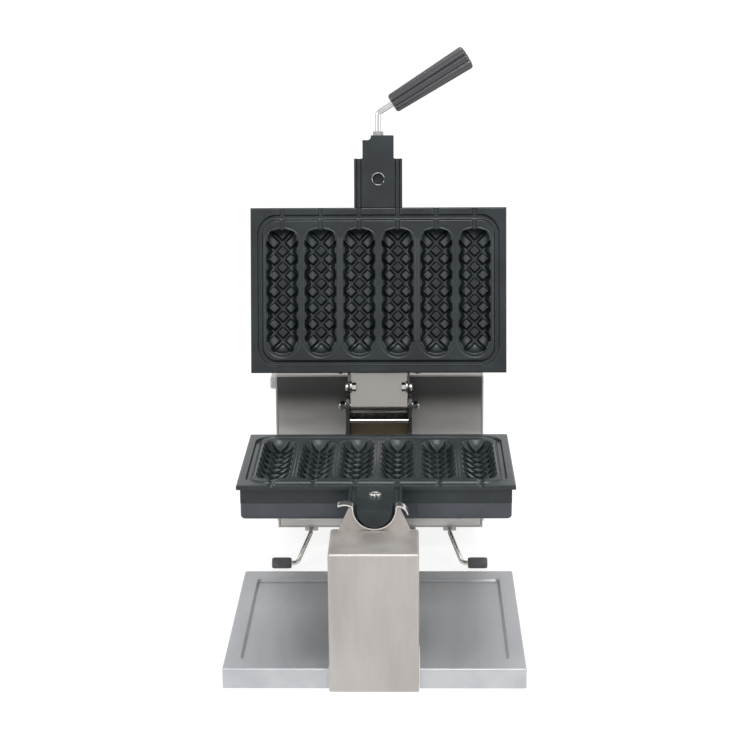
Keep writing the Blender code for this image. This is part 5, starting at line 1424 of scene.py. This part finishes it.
def switch_block(near, far, half_y, half_z):
    """A block across the box's left side, with the switch in its middle."""
    low = (near, switch_place.y - half_y, switch_place.z - half_z)
    return block(low, (far, switch_place.y + half_y, switch_place.z + half_z))


def folded_panel(face, back, cuts):
    """A sheet panel with returns folded back round its edge."""
    low = box_floor_level + box_sheet + seat_gap
    inward = 1 if back > face else -1
    bm = arched_block(panel_half, *sorted((face, back)), low, panel_top, box_sheet)
    near, far = sorted((face + inward * box_sheet, back + inward * overrun))
    inner = panel_half - box_sheet
    hollow = block((-inner, near, low + box_sheet), (inner, far, panel_top - box_sheet))
    return edged(shaped(bm, cut=[hollow] + cuts), sheet_edge)


# The front panel is painted darker towards the top: a painted shade for the shadow and dark reflections that the open
# lid casts on it.
painted_shade = (panel_painted_shade, painted_shade_low, painted_shade_high)
stained_steel = brushed_steel("stained_steel", (12, 1500, 1500), panel_grey, panel_dull, 0.39, 1.0, painted_shade)
brushed_across = brushed_steel("steel_brushed_across", (12, 1500, 1500), steel_grey, steel_dull)

hem_back, bend, low = box_front + 4 * box_hem, box_hem + box_sheet, box_floor_level - overrun
outer = arched_block(box_half, box_front, box_rear, box_floor_level, box_top, bend)
mouth = (box_half - box_hem, box_front - overrun, hem_back, low, box_top - box_hem, box_sheet)
inside = (box_half - box_sheet, hem_back - overrun, box_rear + overrun, low, box_top - box_sheet, box_hem)
half_y, half_z = switch_length / 2 + seat_gap, switch_width / 2 + seat_gap
window = switch_block(-box_half - overrun, -box_half + box_sheet + overrun, half_y, half_z)
bm = edged(shaped(outer, cut=[arched_block(*mouth), arched_block(*inside), window]), sheet_edge)
place_piece("box_wrap", bm, brushed_upwards, "stand", ["box_cover"])
for side, word in ((-1, "left"), (1, "right")):
    along = (hem_back + box_screw_inset, box_rear - box_screw_inset)
    places = [(side * box_half, y, box_floor_level + box_screw_inset) for y in along]
    set_screws("wrap_screws_" + word, box_screw_radius, box_screw_height, places, right * side, "stand")

fore, aft = panel_front - overrun, panel_front + box_sheet + overrun
cuts = [straight_rod(at_axis(fore), at_axis(aft), bearing_radius + seat_gap, turned_sides)]
for side in (-1, 1):
    for spread, radius in ((knob_spread, knob_stem_radius), (lamp_spread, lamp_radius)):
        place = Vector((side * spread, fore, control_height))
        cuts.append(straight_rod(place, place + backwards * (aft - fore), radius + seat_gap))
bm = folded_panel(panel_front, panel_front + panel_return, cuts)
place_piece("front_sheet", bm, stained_steel, "stand", ["box_front_panel"])
face = box_rear - box_reveal
fore, aft = face - box_sheet - overrun, face + overrun
cuts = []
for side in (-1, 1):
    for index in range(vent_count):
        middle = (side * vent_offset, box_top - vent_drop - index * vent_pitch)
        end_round = vent_height / 2 * vent_end_share
        slot = rounded_rectangle(vent_length / 2, vent_height / 2, end_round, middle=middle)
        cuts.append(prism(slot, "XZ", fore, aft))
start = Vector((-gland_side, fore, box_floor_level + gland_rise))
cuts.append(straight_rod(start, start + backwards * (aft - fore), gland_radius + seat_gap))
bm = folded_panel(face, face - panel_return, cuts)
place_piece("rear_sheet", bm, brushed_across, "stand", ["box_rear_panel"])
keep("box_floor", brushed_back)

# Dial plates
# Thin brushed discs behind the knobs, printed with plain numbers: minutes on the left, degrees on the right.
dial_radius = 0.0250
dial_thickness = 0.0008
print_height = 0.00006
print_gap = 0.00002
mark_radius = 0.0206
mark_length = 0.0022
mark_width = 0.0005
mark_place_share = 0.965
number_radius = 0.0230
number_size = 0.0034
dial_words = {"left": ("0", "1", "2", "3", "4", "5"), "right": ("0", "60", "120", "180", "240", "300")}
dial_turn = {"left": 300, "right": 270}
ink_black = rgb(30, 30, 31)
dial_silver = rgb(206, 206, 204)

ink_finish, places = start_finish("printing_ink", ink_black, 0.0, 0.5)
feed("Roughness", places.noise(2000.0, 2.0) * 0.2 + 0.4)

# Silvery plate with a fine grain.
disc_finish, places = start_finish("dial_disc", dial_silver, 1.0, 0.3)
lines = places.stretched((40, 40, 2600)).noise(1.0, 2.0)
feed("Roughness", lines * 0.2 + 0.22)
bump(lines, 0.00003, 0.3)


def number_mesh(word):
    """Printed digits as a thin mesh, centred, in the XZ plane as seen from the front."""
    curve = bpy.data.curves.new("digits", "FONT")
    curve.body = word
    curve.size = number_size
    curve.extrude = print_height / 2
    curve.align_x = "CENTER"
    curve.align_y = "CENTER"
    digits = in_scene("digits", curve)
    graph = bpy.context.evaluated_depsgraph_get()
    mesh = bpy.data.meshes.new_from_object(digits.evaluated_get(graph))
    bpy.data.objects.remove(digits)
    bpy.data.curves.remove(curve)
    mesh.transform(Matrix.Rotation(math.radians(90), 4, "X"))
    return mesh


mark_half = Vector((mark_width / 2, print_height / 2, mark_length / 2))
for side, word in ((-1, "left"), (1, "right")):
    centre = Vector((side * knob_spread, panel_front - seat_gap, control_height))
    bore = knob_stem_radius + seat_gap
    disc = plain_ring(bore, dial_radius, 0, dial_thickness, dial_thickness / 4, centre, -backwards)
    place_piece("dial_disc_" + word, disc, disc_finish, "stand", ["dial_plate_" + word])
    face = centre - backwards * (dial_thickness + print_gap + print_height / 2)
    printed = bmesh.new()
    words = dial_words[word]
    for index, text in enumerate(words):
        turn = math.radians(dial_turn[word]) * index / len(words)
        outwards = Vector((math.sin(turn), 0, math.cos(turn)))
        digits = (number_mesh(text), outwards * number_radius, 0)
        mark = (mesh_of(block(-mark_half, mark_half), "mark"), outwards * mark_radius * mark_place_share, turn)
        for mesh, away, roll in (digits, mark):
            mesh.transform(Matrix.Translation(face + away) @ Matrix.Rotation(roll, 4, "Y"))
            printed.from_mesh(mesh)
            bpy.data.meshes.remove(mesh)
    place_piece("dial_print_" + word, printed, ink_finish, "stand", [])

# Knobs
# Black moulded knobs with a skirt, a fluted cap and a raised pointer, which has a white line let into it.
knob_skirt_radius = 0.0190
knob_radius = 0.0150
knob_skirt_height = 0.0035
knob_height = 0.0160
knob_flutes = 12
knob_flute_depth = 0.0009
knob_turn_gap = 0.0004
knob_edge = 0.0008
pointer_half = 0.0010
pointer_rise = 0.0020
line_half = 0.0004
knob_sharp = 35
plastic_black = rgb(34, 34, 35)
plastic_worn = rgb(48, 48, 50)
line_white = rgb(232, 232, 228)


def moulded_plastic(name, colour, worn, roughness):
    """Satin moulded plastic with a fine spark texture."""
    made, places = start_finish(name, colour, 0.0, roughness)
    cloud = places.noise(60.0, 4.0)
    feed("Base Color", cloud.above(0.4, 0.75).blend(colour, worn))
    feed("Roughness", cloud * 0.2 + (roughness - 0.1))
    bump(places.noise(1600.0, 2.0), 0.00005, 0.6)
    return made


plastic_finish = moulded_plastic("black_moulding", plastic_black, plastic_worn, 0.42)
line_finish = moulded_plastic("white_line", line_white, line_white, 0.5)

dial_face = panel_front - seat_gap - dial_thickness - knob_turn_gap
for name, side, body in (("timer", -1, "timer_dial"), ("thermostat", 1, "thermostat_dial")):
    place = Vector((side * knob_spread, dial_face, control_height))
    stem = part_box(name + "_knob")[1].y - place.y
    slope = [(knob_skirt_radius, 0), (knob_skirt_radius, knob_skirt_height / 2), (knob_radius, knob_skirt_height)]
    skirt = [(0, -stem), (knob_stem_radius, -stem), (knob_stem_radius, 0), (knob_skirt_radius, 0)]
    skirt += [*eased(slope, knob_edge)[1:], (0, knob_skirt_height)]
    top, full = knob_height - knob_edge, knob_flute_depth + knob_edge
    levels = [(knob_skirt_height / 2, 0), (top, knob_flute_depth - knob_edge / 9)]
    levels += [(top + up, full - across) for across, up in arc((0, 0), knob_edge, 15, 90, 4)]
    rings = []
    for distance, inset in levels:
        outline = fluted_outline(knob_radius - inset, knob_flutes, knob_flute_depth)
        rings.append([place + Vector((x, -distance, z)) for x, z in outline])
    reach = knob_radius - 2 * knob_flute_depth
    near, far = -knob_height - pointer_rise + pointer_rise / 3, -knob_height / 2
    low, high = Vector((-pointer_half, near, 0)), Vector((pointer_half, far, reach))
    rib = block(place + low, place + high, pointer_half / 3)
    bm = shaped(turned(skirt, place, -backwards), joined=[lofted(rings), rib])
    place_piece(name + "_cap", bm, plastic_finish, body, [name + "_knob"], knob_sharp)
    low = Vector((-line_half, near - print_gap, pointer_half))
    line = block(place + low, place + Vector((line_half, near + print_height, reach - pointer_half)))
    place_piece(name + "_line", line, line_finish, body, [])

# Signal lamps
# Push-through lamps: a chromed bezel round a domed coloured lens, with a plain body behind the panel.
lamp_bezel_radius = 0.0070
lamp_bezel_height = 0.0018
lamp_dome = 0.0026
lens_gap = 0.0001
lens_green = rgb(42, 168, 72)
lens_red = rgb(208, 48, 38)
lens_dark = rgb(20, 20, 20)


def lens(name, colour):
    """Clear coloured plastic, ribbed inside."""
    made, places = start_finish(name, colour, 0.0, 0.12, {"Transmission Weight": 0.35, "Coat Weight": 0.5})
    ribs = places.stretched((1, 0, 1)).noise(900.0, 1.0)
    feed("Base Color", ribs.above(0.3, 0.7).blend(lens_dark, colour))
    return made


bezel, inner = lamp_bezel_height + seat_gap, lamp_radius - lens_gap
for side, word, colour, slot in ((-1, "power", lens_green, "lamp_green"), (1, "heat", lens_red, "lamp_red")):
    place = Vector((side * lamp_spread, panel_front, control_height))
    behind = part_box("lamp_" + word)[1].y - panel_front
    profile = [(0, -behind), (inner, -behind), (inner, bezel)] + domed(inner, bezel, bezel + lamp_dome)
    bm = turned(profile, place, -backwards)
    place_piece("lens_" + word, bm, lens("lens_" + word, colour), "stand", ["lamp_" + word])
    edge = lamp_bezel_height / 4
    bm = plain_ring(lamp_radius, lamp_bezel_radius, seat_gap, bezel, edge, place, -backwards)
    place_piece("bezel_" + word, bm, chrome_finish, "stand", [])

# Mains switch
# A black rocker in a framed body high on the left side, under a soft clear splash boot.
switch_wall = 0.0010
switch_bezel_height = 0.0012
switch_well_depth = 0.0050
boot_wall = 0.0010
boot_round = 0.0022
switch_edge = 0.0003
rocker_flat_angle = 0.01
boot_clear = rgb(236, 238, 240)

# Soft clear rubber, cloudy and slightly grey.
clear = {"Transmission Weight": 0.45, "IOR": 1.4}
boot_finish, places = start_finish("splash_rubber", boot_clear, 0.0, 0.28, clear)
feed("Roughness", places.noise(80.0, 4.0) * 0.25 + 0.15)
bump(places.noise(260.0, 3.0), 0.0002, 0.4)

low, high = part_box("switch_body")
half_y, half_z = switch_length / 2, switch_width / 2
face, flange = -box_half - seat_gap, -box_half - seat_gap - switch_bezel_height
body = switch_block(face - switch_edge, high.x, half_y, half_z)
rim = block((flange, low.y, low.z), (face, high.y, high.z), switch_edge)
well_end = -box_half + switch_well_depth
well = switch_block(flange - overrun, well_end, half_y - switch_wall, half_z - switch_wall)
bm = shaped(body, joined=[rim], cut=[well])
place_piece("switch_frame", bm, plastic_finish, "stand", ["switch_body"])

low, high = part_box("switch_boot")
every_way = Vector((1, 1, 1))
trim = block(low - every_way * overrun, (high.x - boot_round, high.y + overrun, high.z + overrun))
boot = shaped(block(low, high, boot_round, 5), kept=[trim])
far = max(corner.co.x for corner in boot.verts)
rear = [corner for corner in boot.verts if far - corner.co.x < weld_distance]
bmesh.ops.translate(boot, vec=(boot_round, 0, 0), verts=rear)
mouth = (high.x + overrun, high.y - boot_wall, high.z - boot_wall)
inner = block(low + every_way * boot_wall, mouth, boot_round / 2, 4)
place_piece("splash_boot", shaped(boot, cut=[inner]), boot_finish, "stand", ["switch_boot"])

bm = bmesh.new()
bm.from_mesh(frame["nodes"]["switch_rocker"].data)
bmesh.ops.remove_doubles(bm, verts=bm.verts, dist=weld_distance)
bmesh.ops.dissolve_limit(bm, angle_limit=rocker_flat_angle, verts=bm.verts, edges=bm.edges)
place_piece("rocker_key", edged(bm, switch_edge), plastic_finish, "rocker", ["switch_rocker"])

# Inner parts
# What stands behind the panels: the timer, the thermostat and the ceramic terminal block. Nothing shows them from
# outside but the vent slots.
case_grey = rgb(148, 148, 150)
case_pale = rgb(158, 158, 160)
ceramic_white = rgb(228, 224, 214)
ceramic_shade = rgb(206, 200, 188)
case_finish = moulded_plastic("grey_moulding", case_grey, case_pale, 0.5)
ceramic_finish = moulded_plastic("glazed_ceramic", ceramic_white, ceramic_shade, 0.3)
keep("timer_body", case_finish)
keep("thermostat_body", case_finish)
keep("terminal_block", ceramic_finish)

# Cord gland
# A black nylon gland in the rear panel: a hexagon nut and a domed cap with a bore for the cord, which is left out.
gland_height = 0.0120
gland_nut_radius = 0.0130
gland_nut_height = 0.0060
gland_bore = 0.0042
gland_round = 0.0010
gland_sharp = 30

place = Vector((-gland_side, box_rear, box_floor_level + gland_rise))
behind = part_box("cord_gland")[0].y - box_rear
seat = seat_gap - box_reveal
outline = [(gland_bore, behind), (gland_radius, behind), (gland_radius, gland_nut_height)]
outline += [(gland_radius * 3 / 4, gland_height), (gland_bore, gland_height)]
core = turned(eased(outline, gland_round, closed=True), place, backwards, close=True)
nut = hexagon(gland_nut_radius, gland_nut_height - seat)
nut = set_out(nut, [place + backwards * seat], backwards)
start, end = place + backwards * (behind - overrun), place + backwards * (gland_height + overrun)
bm = shaped(nut, joined=[core], cut=[straight_rod(start, end, gland_bore)])
place_piece("nylon_gland", bm, plastic_finish, "stand", ["cord_gland"], gland_sharp)

# Legs and feet
# Two bent chromed rods, clipped under the floor, splay forward on rubber toes, and two rubber feet stand behind.
leg_rod_radius = 0.0029
leg_spread = 0.0865
leg_toe_spread = 0.1000
leg_toe_forward = 0.1010
leg_reach_back = 0.0700
leg_drop_start = 0.0120
leg_bend = 0.0070
leg_cap_radius = 0.0067
leg_cap_start = 0.1070
leg_cap_length = 0.0235
leg_cap_wall = 0.0030
leg_cap_waist_share = 0.90
leg_cap_edge = 0.0010
foot_radius = 0.0140
foot_taper = 0.0020
foot_inset = 0.0260
rubber_black = rgb(92, 92, 95)
rubber_dusty = rgb(114, 114, 117)
leg_level = box_floor_level - seat_gap - leg_rod_radius

# Matt rubber with a dusty bloom.
rubber_finish, places = start_finish("black_rubber", rubber_black, 0.0, 0.75)
dust = places.noise(70.0, 6.0, 0.65).above(0.45, 0.75)
feed("Base Color", dust.blend(rubber_black, rubber_dusty))
bump(places.noise(700.0, 4.0), 0.00015, 0.7)

for side, word in ((-1, "left"), (1, "right")):
    outer = leg_cap_start + leg_cap_length
    corners = [
        (side * leg_spread, box_front + leg_reach_back, leg_level),
        (side * leg_spread, box_front - leg_drop_start, leg_level),
        (side * leg_toe_spread, leg_toe_forward, leg_cap_radius),
        (side * (outer - leg_cap_wall), leg_toe_forward, leg_cap_radius),
    ]
    rod = rod_along(bent_path(corners, leg_bend), leg_rod_radius)
    place_piece("bent_leg_" + word, rod, chrome_finish, "stand", ["leg_rod_" + word])
    bore, end = leg_rod_radius + seat_gap, leg_cap_length - leg_cap_wall + seat_gap
    waist = leg_cap_radius * leg_cap_waist_share
    profile = [(bore, 0), (waist, 0), (leg_cap_radius, leg_cap_wall)]
    profile += [(leg_cap_radius, leg_cap_length - leg_cap_wall), (waist, leg_cap_length), (0, leg_cap_length)]
    outline = eased(profile, leg_cap_edge) + [(0, end), (bore, end), (bore, 0)]
    toe = turned(outline, (side * leg_cap_start, leg_toe_forward, leg_cap_radius), right * side)
    place_piece("rubber_toe_" + word, toe, rubber_finish, "stand", ["leg_cap_" + word])
    keep("leg_clip_" + word, brushed_back)

    height = box_floor_level - seat_gap
    profile = [(0, 0), (foot_radius - foot_taper, 0), (foot_radius, foot_taper)]
    profile += [(foot_radius - foot_taper, height), (0, height)]
    place = (side * (box_half - foot_inset), box_rear - foot_inset, 0)
    bm = turned(eased(profile, leg_cap_edge), place)
    place_piece("rubber_foot_" + word, bm, rubber_finish, "stand", ["rear_foot_" + word])
